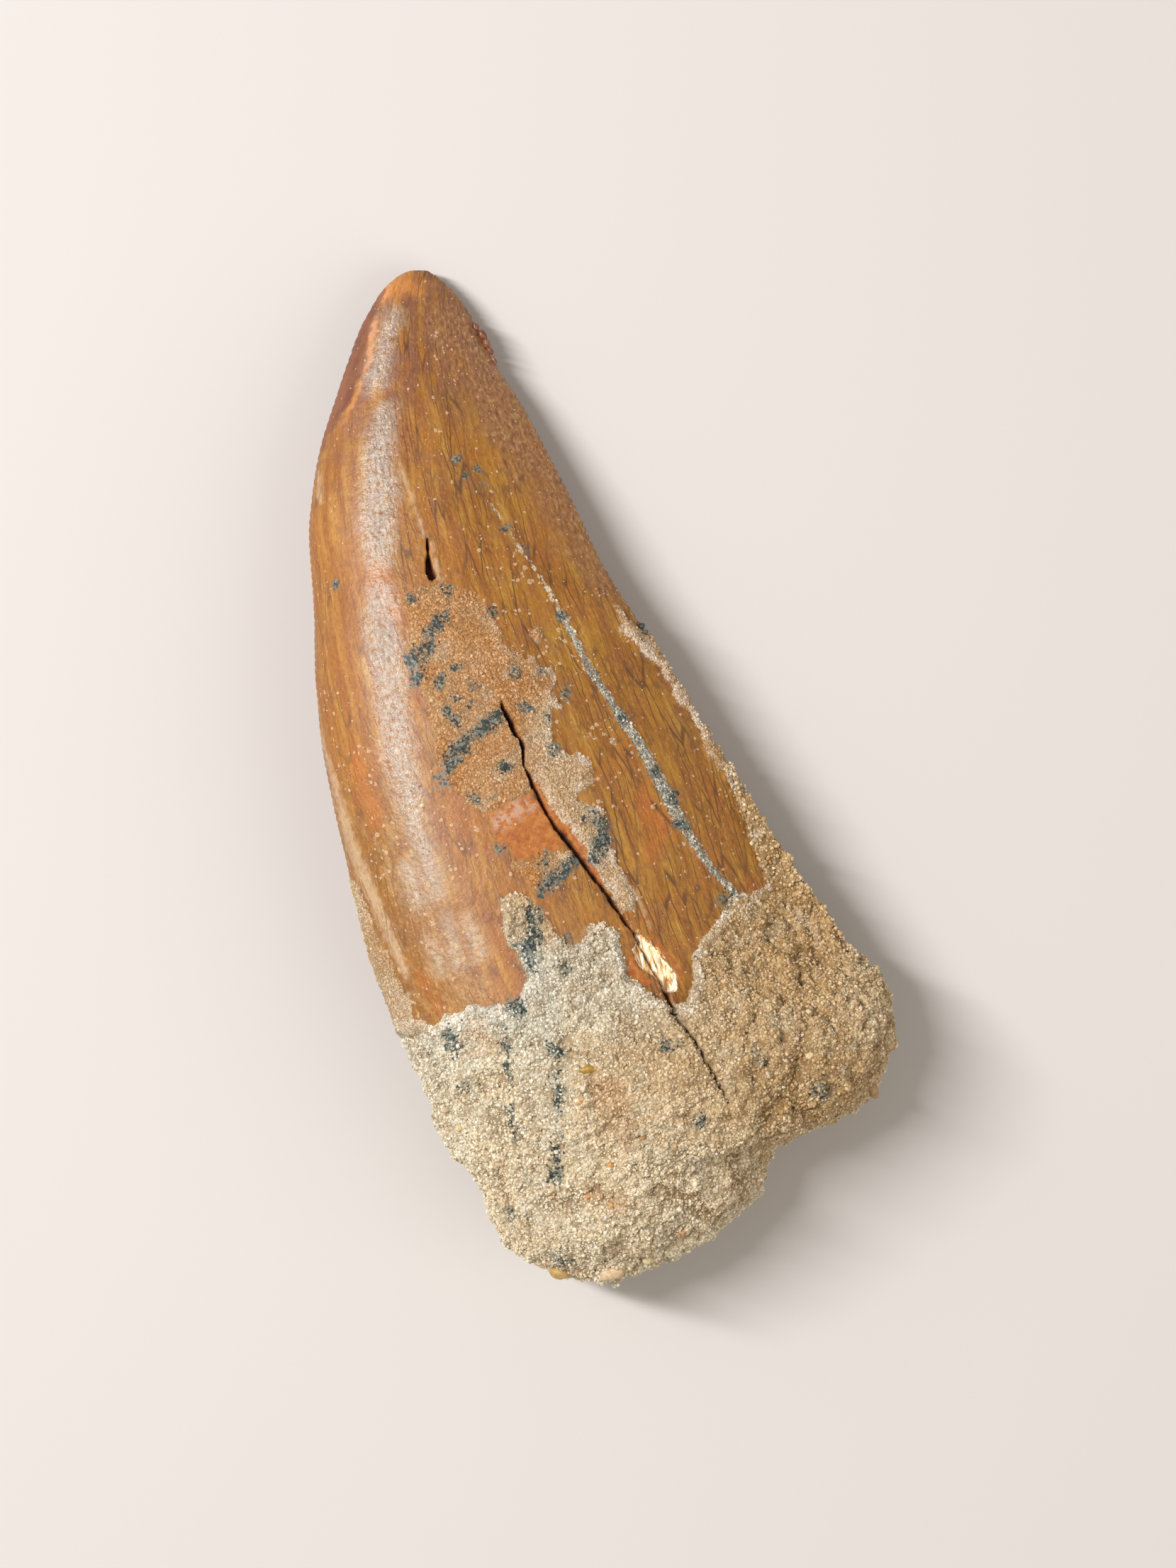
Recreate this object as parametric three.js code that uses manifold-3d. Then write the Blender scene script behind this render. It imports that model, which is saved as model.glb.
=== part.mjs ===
// Fossil tooth of a carcharodontosaurus, lying on its inner face, with the root end still set in a
// clump of sandstone. Millimetres. +Y runs from the root to the tip, +X from the front cutting edge
// to the rear one, and +Z up out of the outer face. The part lies on z = 0, on the flat underside of
// the sandstone and on the underside of its tip.
import * as THREE from 'three';
import Module from 'manifold-3d';

// Overall size
const LENGTH = 79.0;
const TIP_X = -5.6;
const TIP_Y = LENGTH / 2;
const TIP_Z = 1.9;
const FOOT_Y = -LENGTH / 2;

// Denticles of the two cutting edges: spacing along the edge, and depth of the notch between two
const DENTICLE_PITCH = 0.6;
const REAR_NOTCH = 0.16;
const FRONT_NOTCH = 0.07;

// Where the crown and the sandstone meet, and the gap left between the two solids
const SEAM_GAP = 0.3;
const SANDSTONE_LIP = 0.45;

// Damage: the open crack, the flaked chip at its lower end and the small pit
const CRACK_DEPTH = 1.1;
const CRACK_DEPTH_IN_SANDSTONE = 0.7;
const CRACK_CLEARANCE = 0.6;
const PIT = { x: -8.6, y: 16.3, across: 0.34, along: 0.8, depth: 0.8 };
const CHIP_DEPTH = 0.7;

// Sand crust stuck to the middle of the outer face, and how softly its border rises
const CRUST_RISE = 0.35;
const CRUST_BORDER = 0.5;

// Outlines of the crown seen from above, as [y, x] stations from the root to the tip
const CROWN_ROOT_Y = -24;
const CROWN_ROOT = [-1.5, CROWN_ROOT_Y, 8];
const CROWN_FRONT = [
  [-24, -17.4], [-17, -18.3], [-11, -19.1], [-3, -19.45], [3, -19.55], [9, -19.1], [15, -18.1],
  [21, -17.3], [25, -16.1], [29, -14.4], [33, -12.3], [36, -10.4], [38, -8.6], [39, -7.2], [39.4, -6.3],
];
const CROWN_REAR = [
  [-24, 14.6], [-12, 12.0], [-3, 10.5], [3, 8.5], [9, 6.3], [15, 4.1], [19, 3.2], [23, 2.1],
  [27, 0.9], [31, -0.6], [35, -1.7], [37, -2.6], [38.5, -3.6], [39.2, -4.3], [39.4, -4.9],
];

// Height of the crown's upper ridge and of its underside, as [y, z] stations
const CROWN_TOP = [
  [-24, 16.1], [-12, 15.5], [0, 14.3], [10, 12.7], [20, 10.4], [28, 8.0], [33, 6.2], [36, 4.9],
  [38, 3.7], [39, 2.8], [39.4, 2.2],
];
const CROWN_UNDER = [
  [-24, 0.9], [-8, 1.6], [4, 1.7], [20, 0.8], [33, 0], [36, 0.3], [38, 0.8], [39, 1.3], [39.4, 1.6],
];
const EDGE_LEVEL = 0.44;

// Section of the crown: how full it is towards the front edge and towards the rear one
const CROWN_UPPER = { front: 0.5, rear: 0.92 };
const CROWN_LOWER = { front: 0.6, rear: 0.85 };

// The edges are worn smooth between these stations and the tip
const WORN_FROM_Y = 34;
const WORN_TO_Y = 37;

// Rows along the crown, every second denticle, and closer over the tip
const CROWN_ROW_STEP = 2 * DENTICLE_PITCH;
const CROWN_EVEN_ROWS = 51;
const CROWN_TIP_ROWS = [37.9, 38.5, 38.9, 39.2, 39.38];

// Points of one row, as shares of the width from the front edge to the rear one
const CROWN_UPPER_SHARES = [0.02, 0.06, 0.12, 0.19, 0.27, 0.36, 0.46, 0.56, 0.66, 0.76, 0.86, 0.94];
const CROWN_LOWER_SHARES = [0.94, 0.84, 0.7, 0.55, 0.4, 0.26, 0.14, 0.05];

// Outlines and heights of the sandstone
const SAND_FRONT = [
  [-39.4, -6.2], [-39, -8.2], [-37, -11.9], [-35, -13.4], [-33, -13.9], [-31, -14.3], [-27, -16.2],
  [-25, -16.8], [-21, -17.2], [-17, -18.2], [-11, -19.2], [2, -19.5],
];
const SAND_REAR = [
  [-39.4, -3.2], [-39, -0.8], [-37, 4.1], [-35, 6.8], [-33, 7.9], [-31.8, 9.2], [-31, 13.4],
  [-29, 17.0], [-27, 18.5], [-24.5, 19.55], [-21, 19.2], [-19, 18.0], [-17, 16.7], [-13, 14.7],
  [-7, 12.3], [-3, 10.8], [2, 9.2],
];
const SAND_TOP = [
  [-39.4, 9.4], [-39, 10.6], [-37, 13.4], [-34, 15.3], [-30, 16.6], [-24, 17.2], [-17, 16.9], [2, 15.4],
];
const SAND_UNDER = [
  [-39.4, 6.0], [-39, 4.6], [-37, 1.9], [-34, -0.4], [-30, -1.3], [-18, -1.2], [-10, -0.4], [2, 0.8],
];
const SAND_EDGE_LEVEL = 0.46;
const SAND_UPPER = { front: 0.4, rear: 0.52 };
const SAND_LOWER = { front: 0.42, rear: 0.46 };
const LUMP_HEIGHT = 0.32;
const LUMP_WIDTH = 3.4;
const SAND_FOOT = [-4.8, FOOT_Y, 7.6];
const SAND_END = [-5, 1.3, 8];

// Between these stations the sandstone passes from its own rounded form to a lip on the enamel
const LIP_FROM_Y = -25;
const LIP_TO_Y = -15;

// Rows and points of the sandstone
const SAND_FOOT_ROWS = [-39.38, -39.2, -38.8, -38.2];
const SAND_FIRST_Y = -37.4;
const SAND_LAST_Y = 1;
const SAND_ROW_STEP = 1.1;
const SAND_UPPER_SHARES = [
  0.015, 0.05, 0.1, 0.16, 0.23, 0.3, 0.38, 0.46, 0.54, 0.62, 0.7, 0.78, 0.85, 0.91, 0.96, 0.99,
];
const SAND_LOWER_SHARES = [0.98, 0.93, 0.85, 0.74, 0.62, 0.5, 0.38, 0.27, 0.17, 0.09, 0.03];

// Seam between enamel and sandstone on the outer face, from the front edge to the rear one
const SEAM = [
  [-22, -17.2], [-16, -17.2], [-15.2, -17.9], [-14.2, -17.0], [-11.5, -16.9], [-8.8, -17.3],
  [-7.9, -16.2], [-7.4, -15.2], [-8.0, -14.0], [-8.6, -12.0], [-8.4, -9.3], [-7.0, -8.7],
  [-6.0, -9.6], [-5.2, -11.6], [-3.9, -13.8], [-3.0, -13.6], [-2.2, -12.5], [-0.9, -12.5],
  [-0.1, -13.7], [-0.2, -16.8], [1.2, -18.1], [2.4, -19.6], [3.9, -19.9], [4.7, -18.6],
  [4.8, -16.4], [6.2, -15.2], [8.2, -13.3], [9.3, -12.3], [10.4, -12.9], [11.7, -12.3],
  [11.3, -9.2], [10.9, -6.0], [10.2, -3.0], [11.2, -1.8], [22, -1.8],
];
// On the inner face the seam is a plainer wave between the same two ends
const INNER_SEAM_RISE = 2.2;
const INNER_SEAM_SAG = 6.5;
const INNER_SEAM_WAVE = 0.9;
// Heights of the wall between the solids, and how far it has turned into the inner seam there
const SEAM_LEVELS = [[-5, 1], [3, 1], [5.5, 0.75], [8, 0.5], [10, 0.2], [12, 0], [30, 0]];

// Course of the open crack: [x, y, width]
const CRACK = [
  [-5.3, 5.2, 0.12], [-4.9, 3.6, 0.3], [-4.5, 2.2, 0.3], [-4.4, 1.0, 0.28], [-4.5, -0.3, 0.26],
  [-4.1, -1.5, 0.28], [-3.6, -3.6, 0.3], [-2.9, -5.0, 0.38], [-2.3, -6.0, 0.4], [-1.8, -7.3, 0.36],
  [-1.2, -8.8, 0.34], [-0.5, -10.2, 0.3], [0.2, -11.8, 0.28], [0.9, -13.5, 0.28], [1.7, -15.6, 0.26],
  [2.4, -18.2, 0.26], [3.3, -21.3, 0.24], [4.2, -23.3, 0.24], [4.7, -25.0, 0.22], [5.5, -28.2, 0.12],
];
const CHIP = [
  [1.6, -13.8], [0.9, -15.7], [1.6, -17.3], [3.7, -18.7], [4.1, -17.4], [3.5, -16.0], [2.5, -14.7],
];
const CRUST = [
  [-7, 16], [-5.5, 14], [-3.8, 10], [-3.3, 8.8], [-1.2, 7.5], [-1.0, 5.0], [-1.9, 2.4], [-1.2, 0.2],
  [-3.6, -0.6], [-4.6, -1.6], [-8.3, -2.8], [-10.3, -0.6], [-10.8, 5], [-10.8, 14], [-9, 15.6],
];

// Finishes
const enamel = new THREE.MeshStandardMaterial({ color: 0xa8703a, roughness: 0.35, metalness: 0 });
const sandstone = new THREE.MeshStandardMaterial({ color: 0xc9b493, roughness: 0.9, metalness: 0 });

const wasm = await Module();
wasm.setup();

// Value at t on a smooth curve through the stations: a cubic that never overshoots them
function through(stations, t) {
  const last = stations.length - 1;
  if (t <= stations[0][0]) return stations[0][1];
  if (t >= stations[last][0]) return stations[last][1];
  const i = stations.findIndex(([at]) => at > t) - 1;
  const rise = (k) => (stations[k + 1][1] - stations[k][1]) / (stations[k + 1][0] - stations[k][0]);
  const slope = (k) => {
    if (k === 0) return rise(0);
    if (k === last) return rise(last - 1);
    const before = rise(k - 1);
    const after = rise(k);
    return before * after <= 0 ? 0 : (2 * before * after) / (before + after);
  };
  const [t0, v0] = stations[i];
  const [t1, v1] = stations[i + 1];
  const span = t1 - t0;
  const u = (t - t0) / span;
  const u2 = u * u;
  const u3 = u2 * u;
  return v0 * (2 * u3 - 3 * u2 + 1) + v1 * (3 * u2 - 2 * u3)
    + span * (slope(i) * (u3 - 2 * u2 + u) + slope(i + 1) * (u3 - u2));
}

// Height of a lens section at s, from 0 at the front edge to 0 at the rear one, with its crest at 1
function lens(s, { front, rear }) {
  const crest = front / (front + rear);
  const full = crest ** front * (1 - crest) ** rear;
  return (s ** front * (1 - s) ** rear) / full;
}

function smoothstep(from, to, t) {
  const u = Math.min(1, Math.max(0, (t - from) / (to - from)));
  return u * u * (3 - 2 * u);
}

// Irregular lumps about LUMP_WIDTH across, between -1 and 1
function lumps(x, y, turn) {
  const a = x / LUMP_WIDTH;
  const b = y / LUMP_WIDTH;
  const one = Math.sin(2.1 * a + 1.7 * Math.sin(1.3 * b + turn));
  const two = Math.sin(2.3 * b + 1.9 * Math.sin(1.7 * a - turn));
  const three = Math.sin(4.7 * a - 3.9 * b + turn);
  return 0.4 * one + 0.4 * two + 0.2 * three;
}

// How far a point lies inside an outline, in mm: positive inside, negative outside
function inside(outline, x, y) {
  let within = false;
  let nearest = Infinity;
  outline.forEach(([x1, y1], i) => {
    const [x0, y0] = outline[(i + outline.length - 1) % outline.length];
    if (y0 > y !== y1 > y && x < x0 + ((x1 - x0) * (y - y0)) / (y1 - y0)) within = !within;
    const along = ((x - x0) * (x1 - x0) + (y - y0) * (y1 - y0)) / ((x1 - x0) ** 2 + (y1 - y0) ** 2);
    const u = Math.min(1, Math.max(0, along));
    nearest = Math.min(nearest, Math.hypot(x - x0 - u * (x1 - x0), y - y0 - u * (y1 - y0)));
  });
  return within ? nearest : -nearest;
}

// The crown's own surfaces, as heights over the plan
function crownAt(x, y, upper) {
  const front = through(CROWN_FRONT, y);
  const rear = through(CROWN_REAR, y);
  const top = through(CROWN_TOP, y);
  const under = through(CROWN_UNDER, y);
  const level = under + EDGE_LEVEL * (top - under);
  const s = Math.min(1, Math.max(0, (x - front) / (rear - front)));
  if (!upper) return level - (level - under) * lens(s, CROWN_LOWER);
  const crust = CRUST_RISE * smoothstep(-CRUST_BORDER, CRUST_BORDER, inside(CRUST, x, y));
  return level + (top - level) * lens(s, CROWN_UPPER) + crust;
}

// The sandstone's surfaces: its own rounded form below, and a lip over the enamel near the seam
function sandAt(x, y, upper) {
  const front = through(SAND_FRONT, y);
  const rear = through(SAND_REAR, y);
  const top = through(SAND_TOP, y);
  const under = through(SAND_UNDER, y);
  const level = under + SAND_EDGE_LEVEL * (top - under);
  const s = Math.min(1, Math.max(0, (x - front) / (rear - front)));
  const onCrown = smoothstep(LIP_FROM_Y, LIP_TO_Y, y);
  const fade = Math.min(1, 6 * s * (1 - s));
  if (!upper) {
    const own = level - (level - under) * lens(s, SAND_LOWER);
    const lip = crownAt(x, y, false) - SANDSTONE_LIP * fade;
    const z = own + (lip - own) * onCrown + LUMP_HEIGHT * fade * lumps(x, y, 2.4);
    return Math.max(0, z);
  }
  const own = level + (top - level) * lens(s, SAND_UPPER);
  const lip = crownAt(x, y, true) + SANDSTONE_LIP * fade;
  return own + (lip - own) * onCrown + LUMP_HEIGHT * fade * lumps(x, y, 0.3);
}

// A closed solid from positions and triangles
function solid(positions, triangles) {
  return new wasm.Manifold(new wasm.Mesh({
    numProp: 3,
    vertProperties: Float32Array.from(positions),
    triVerts: Uint32Array.from(triangles),
  }));
}

// Lofts a blade along Y. Each row is a ring: front edge, upper points, rear edge, lower points.
// The two edges have `fine` points to a row, which carry the denticles, and the rest have one.
function blade({ rows, upper, lower, fine, point, edge, start, end }) {
  const positions = [];
  const triangles = [];
  const add = (p) => positions.push(...p) / 3 - 1;
  const body = rows.map((y) => [
    ...upper.map((s) => add(point(s, y, true))),
    ...lower.map((s) => add(point(s, y, false))),
  ]);
  const steps = (rows.length - 1) * fine;
  const edgeY = (i) => {
    const row = Math.min(rows.length - 2, Math.floor(i / fine));
    return rows[row] + ((rows[row + 1] - rows[row]) * (i - row * fine)) / fine;
  };
  const line = (s) => Array.from({ length: steps + 1 }, (_, i) => add(edge(s, edgeY(i), i)));
  const edges = [line(0), line(1)];
  const half = Math.floor(fine / 2);
  // A body point on each row on one side, and the fine edge on the other
  const fan = (column, edgeLine, r, flip) => {
    const face = (a, b, c) => triangles.push(...(flip ? [a, c, b] : [a, b, c]));
    const low = body[r][column];
    const high = body[r + 1][column];
    for (let i = 0; i < fine; i += 1) {
      face(i < half ? low : high, edgeLine[r * fine + i], edgeLine[r * fine + i + 1]);
      if (i === half) face(low, edgeLine[r * fine + half], high);
    }
  };
  const n = upper.length;
  const m = lower.length;
  for (let r = 0; r < rows.length - 1; r += 1) {
    for (let c = 0; c < n + m - 1; c += 1) {
      if (c === n - 1) continue;
      const quad = [body[r][c], body[r][c + 1], body[r + 1][c + 1], body[r + 1][c]];
      triangles.push(quad[0], quad[1], quad[2], quad[0], quad[2], quad[3]);
    }
    fan(0, edges[0], r, true);
    fan(n - 1, edges[1], r, false);
    fan(n, edges[1], r, true);
    fan(n + m - 1, edges[0], r, false);
  }
  const cap = (centre, r, i, outward) => {
    const ring = [edges[0][i], ...body[r].slice(0, n), edges[1][i], ...body[r].slice(n)];
    ring.forEach((a, k) => {
      const b = ring[(k + 1) % ring.length];
      triangles.push(...(outward ? [centre, a, b] : [centre, b, a]));
    });
  };
  cap(add(start), 0, 0, false);
  cap(add(end), rows.length - 1, steps, true);
  return solid(positions, triangles);
}

// Rows from one y to another, as near to the given step as comes out even
function rowsBetween(from, to, step) {
  const count = Math.round((to - from) / step);
  const even = Array.from({ length: count }, (_, i) => from + ((to - from) * i) / count);
  return [...even, to];
}

function crownSolid() {
  const end = CROWN_ROOT_Y + CROWN_ROW_STEP * CROWN_EVEN_ROWS;
  return blade({
    rows: [...rowsBetween(CROWN_ROOT_Y, end, CROWN_ROW_STEP), ...CROWN_TIP_ROWS],
    upper: CROWN_UPPER_SHARES,
    lower: CROWN_LOWER_SHARES,
    fine: 4,
    point: (s, y, upper) => {
      const front = through(CROWN_FRONT, y);
      const x = front + s * (through(CROWN_REAR, y) - front);
      return [x, y, crownAt(x, y, upper)];
    },
    edge: (s, y, i) => {
      const sharp = 1 - smoothstep(WORN_FROM_Y, WORN_TO_Y, y);
      const notch = i % 2 ? sharp * (s ? -REAR_NOTCH : FRONT_NOTCH) : 0;
      const x = through(s ? CROWN_REAR : CROWN_FRONT, y);
      return [x + notch, y, crownAt(x, y, true)];
    },
    start: CROWN_ROOT,
    end: [TIP_X, TIP_Y, TIP_Z],
  });
}

function sandSolid() {
  return blade({
    rows: [...SAND_FOOT_ROWS, ...rowsBetween(SAND_FIRST_Y, SAND_LAST_Y, SAND_ROW_STEP)],
    upper: SAND_UPPER_SHARES,
    lower: SAND_LOWER_SHARES,
    fine: 2,
    point: (s, y, upper) => {
      const front = through(SAND_FRONT, y);
      const x = front + s * (through(SAND_REAR, y) - front);
      return [x, y, sandAt(x, y, upper)];
    },
    edge: (s, y) => {
      const x = through(s ? SAND_REAR : SAND_FRONT, y);
      return [x, y, sandAt(x, y, true)];
    },
    start: SAND_FOOT,
    end: SAND_END,
  });
}

// The space on the crown's side of the seam: a wall along the seam line, moved towards the tip by
// `shift`. It follows the outer seam near the upper face, and turns into the inner seam on its way down.
function crownSide(shift) {
  const count = SEAM.length - 1;
  const [first, last] = [SEAM[1], SEAM[count - 1]];
  const inner = SEAM.map(([x, y], i) => {
    if (i === 0 || i === count) return [x, y];
    const u = (i - 1) / (count - 2);
    const straight = first[1] + (last[1] - first[1]) * u ** INNER_SEAM_RISE;
    const sag = INNER_SEAM_SAG * u * (1 - u) * (1 - 2 * u);
    const wave = INNER_SEAM_WAVE * (Math.sin(2.3 * i) + Math.sin(0.9 * i + 1)) * Math.sin(Math.PI * u);
    return [first[0] + (last[0] - first[0]) * u, straight + sag + wave];
  });
  const ringAt = (share) => {
    const line = SEAM.map(([x, y], i) => [x + (inner[i][0] - x) * share, y + (inner[i][1] - y) * share]);
    const moved = line.map(([x, y], i) => {
      const [x0, y0] = line[Math.max(0, i - 1)];
      const [x1, y1] = line[Math.min(count, i + 1)];
      const size = Math.hypot(x1 - x0, y1 - y0);
      return [x - (shift * (y1 - y0)) / size, y + (shift * (x1 - x0)) / size];
    });
    return [...moved, [SEAM[count][0], 2 * LENGTH], [SEAM[0][0], 2 * LENGTH]];
  };
  const levels = SEAM_LEVELS.map(([z, share]) => [ringAt(share), z]);
  const size = count + 3;
  const positions = levels.flatMap(([ring, z]) => ring.flatMap(([x, y]) => [x, y, z]));
  const triangles = [];
  for (let level = 0; level < levels.length - 1; level += 1) {
    for (let i = 0; i < size; i += 1) {
      const a = level * size + i;
      const b = level * size + ((i + 1) % size);
      triangles.push(a, b, b + size, a, b + size, a + size);
    }
  }
  const lid = (level, flip) => {
    const ring = levels[level][0].map(([x, y]) => new THREE.Vector2(x, y));
    THREE.ShapeUtils.triangulateShape(ring, []).forEach((face) => {
      triangles.push(...(flip ? face.reverse() : face).map((i) => level * size + i));
    });
  };
  lid(0, true);
  lid(levels.length - 1, false);
  return solid(positions, triangles);
}

// A wedge that runs along the crack, open at the surface and sharp at its bottom
function crackCutter(surface, depth) {
  const positions = [];
  const triangles = [];
  CRACK.forEach(([x, y, width]) => {
    const z = surface(x, y, true);
    const open = z + CRACK_CLEARANCE;
    positions.push(x - width / 2, y, open, x, y, z - depth, x + width / 2, y, open);
  });
  const last = CRACK.length - 1;
  for (let i = 0; i < last; i += 1) {
    for (let k = 0; k < 3; k += 1) {
      const a = 3 * i + k;
      const b = 3 * i + ((k + 1) % 3);
      triangles.push(a, b, a + 3, b, b + 3, a + 3);
    }
  }
  triangles.push(0, 2, 1, 3 * last, 3 * last + 1, 3 * last + 2);
  return solid(positions, triangles);
}

// A shallow scoop with a pointed bottom, over an outline on the outer face
function scoop(outline, surface, depth) {
  const count = outline.length;
  const centre = [0, 1].map((k) => outline.reduce((sum, point) => sum + point[k], 0) / count);
  const middle = surface(...centre, true);
  const ring = (lift) => outline.flatMap(([x, y]) => [x, y, surface(x, y, true) + lift]);
  const positions = [...ring(0), ...ring(1), ...centre, middle - depth, ...centre, middle + 1];
  const [bottom, top] = [2 * count, 2 * count + 1];
  const triangles = outline.flatMap((_, i) => {
    const j = (i + 1) % count;
    return [j, i, bottom, i, j, count + j, i, count + j, count + i, count + i, count + j, top];
  });
  return solid(positions, triangles);
}

function pitOutline() {
  return Array.from({ length: 8 }, (_, i) => {
    const turn = (i * Math.PI) / 4;
    return [PIT.x + PIT.across * Math.cos(turn), PIT.y + PIT.along * Math.sin(turn)];
  });
}

function named(name, body, material) {
  const mesh = body.getMesh();
  const geometry = new THREE.BufferGeometry();
  geometry.setAttribute('position', new THREE.BufferAttribute(mesh.vertProperties, 3));
  geometry.setIndex(new THREE.BufferAttribute(mesh.triVerts, 1));
  geometry.computeVertexNormals();
  const piece = new THREE.Mesh(geometry, material);
  piece.name = name;
  return piece;
}

const damage = crackCutter(crownAt, CRACK_DEPTH)
  .add(scoop(CHIP, crownAt, CHIP_DEPTH))
  .add(scoop(pitOutline(), crownAt, PIT.depth));
const crown = crownSolid().subtract(damage).intersect(crownSide(SEAM_GAP / 2));
const matrix = sandSolid()
  .subtract(crackCutter(sandAt, CRACK_DEPTH_IN_SANDSTONE))
  .subtract(crownSide(-SEAM_GAP / 2));

const tooth = new THREE.Group();
tooth.add(named('tooth_crown', crown, enamel));
tooth.add(named('sandstone_matrix', matrix, sandstone));

export default tooth;
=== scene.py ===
"""Fossil carcharodontosaurus tooth, its root end in sandstone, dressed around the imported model.

Sizes are millimetres in the model's frame until a mesh is made: +X runs from the front cutting edge to
the rear one, +Y from the root end to the tip, and +Z up out of the outer face, which lies uppermost.
"""

import itertools
import logging
import math
from dataclasses import dataclass, field
from enum import Enum

import bpy
import numpy as np
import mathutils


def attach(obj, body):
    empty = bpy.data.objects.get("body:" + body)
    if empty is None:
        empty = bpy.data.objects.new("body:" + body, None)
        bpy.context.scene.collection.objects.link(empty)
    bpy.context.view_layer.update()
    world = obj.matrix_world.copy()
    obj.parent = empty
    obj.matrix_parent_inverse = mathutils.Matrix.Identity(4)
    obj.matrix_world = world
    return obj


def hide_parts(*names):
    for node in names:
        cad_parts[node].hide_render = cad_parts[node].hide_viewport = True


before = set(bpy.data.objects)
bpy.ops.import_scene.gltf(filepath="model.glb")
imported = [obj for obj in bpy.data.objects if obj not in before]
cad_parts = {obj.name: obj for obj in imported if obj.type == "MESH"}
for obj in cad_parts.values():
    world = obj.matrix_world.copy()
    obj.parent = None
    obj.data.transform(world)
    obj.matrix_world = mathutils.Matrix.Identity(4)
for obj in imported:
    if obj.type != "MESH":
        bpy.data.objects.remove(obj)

log = logging.getLogger("tooth")

MM = 0.001
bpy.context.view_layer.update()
# Seed of every random draw
SEED = 7
# How far from a mark its distance is still told apart, and the least height above the floor, in mm
MARK_REACH = 5.0
OFF_FLOOR = 0.02

Array = np.ndarray
Stations = list[tuple[float, float]]
Line = list[tuple[float, ...]]
Place = tuple[float, float, float]
Socket = bpy.types.NodeSocket


class Face(Enum):
    """The two broad faces of the specimen as it lies."""

    OUTER = 1
    INNER = -1


# Number fields and curves


def through(stations: Stations, at: Array) -> Array:
    """Reads a smooth curve through stations, a cubic whose slopes never let it overshoot them.

    Args:
        stations: (place, value) pairs in rising order of place.
        at: places to read.

    Returns:
        The value at each place.
    """
    place, value = np.array(stations, float).T
    rise = np.diff(value) / np.diff(place)
    both = rise[:-1] * rise[1:]
    slope = np.concatenate(([rise[0]], np.zeros(len(both)), [rise[-1]]))
    turning = both > 0
    slope[1:-1][turning] = 2 * both[turning] / (rise[:-1] + rise[1:])[turning]
    at = np.clip(at, place[0], place[-1])
    i = np.clip(np.searchsorted(place, at, side="right") - 1, 0, len(place) - 2)
    span = place[i + 1] - place[i]
    u = (at - place[i]) / span
    ends = value[i] * (1 + 2 * u) * (1 - u) ** 2 + value[i + 1] * u * u * (3 - 2 * u)
    return ends + span * (slope[i] * u * (1 - u) ** 2 - slope[i + 1] * u * u * (1 - u))


def smoothstep(low: float, high: float, value: Array) -> Array:
    """Rises smoothly from 0 at low to 1 at high."""
    u = np.clip((value - low) / (high - low), 0, 1)
    return u * u * (3 - 2 * u)


def scattered(cell: Array, seed: int) -> Array:
    """Mixes the three whole numbers of each cell into one number from 0 to 1 that looks random."""
    c = cell.astype(np.int64)
    mixed = (c[..., 0] * 374761393 + c[..., 1] * 668265263 + c[..., 2] * 1440662683 + seed * 974634777)
    mixed &= 0xFFFFFFFF
    mixed = ((mixed ^ (mixed >> 13)) * 1274126177) & 0xFFFFFFFF
    mixed = ((mixed ^ (mixed >> 16)) * 1103515245) & 0xFFFFFFFF
    return ((mixed ^ (mixed >> 15)) & 0xFFFFFF) / 0xFFFFFF


def noise(points: Array, size: float | tuple[float, float, float], seed: int) -> Array:
    """Smooth random field from -1 to 1: numbers on a lattice, blended by a smoothstep on each axis.

    Args:
        points: places, with x, y and z last.
        size: spacing of the lattice in mm, one number or one for each axis.
        seed: picks the field.

    Returns:
        The field at each place.
    """
    p = points / np.array(size, float)
    base = np.floor(p)
    f = p - base
    f = f * f * (3 - 2 * f)
    total = np.zeros(points.shape[:-1])
    for corner in itertools.product((0, 1), repeat=3):
        weight = np.prod(np.where(np.array(corner) == 1, f, 1 - f), axis=-1)
        total += weight * scattered(base + corner, seed)
    return 2 * total - 1


def rough(points: Array, size: float, seed: int, octaves: int = 3) -> Array:
    """Sum of noise fields, each half the size and half the height of the one before."""
    parts = [noise(points, size / 2**k, seed + k) / 2**k for k in range(octaves)]
    return sum(parts) / 1.5


def pebbles(points: Array, size: float, seed: int) -> tuple[Array, Array]:
    """Packs the space with one scattered centre in each cube of the given size.

    Args:
        points: places, with x, y and z last.
        size: edge of the cubes in mm.
        seed: picks the packing.

    Returns:
        How deep each place lies in its pebble, from 0 at the seam to about 1 at the middle, and a
        random number from 0 to 1 that all of one pebble shares.
    """
    p = points / size
    base = np.floor(p)
    nearest = np.full(points.shape[:-1], 9.0)
    second = nearest.copy()
    own = np.zeros_like(nearest)
    for shift in itertools.product((-1, 0, 1), repeat=3):
        cell = base + shift
        centre = cell + np.stack([scattered(cell, seed + k) for k in (11, 12, 13)], axis=-1)
        gap = np.linalg.norm(p - centre, axis=-1)
        closer = gap < nearest
        second = np.where(closer, nearest, np.minimum(second, gap))
        own = np.where(closer, scattered(cell, seed + 14), own)
        nearest = np.where(closer, gap, nearest)
    return np.clip((second - nearest) * 1.6, 0, 1), own


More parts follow.
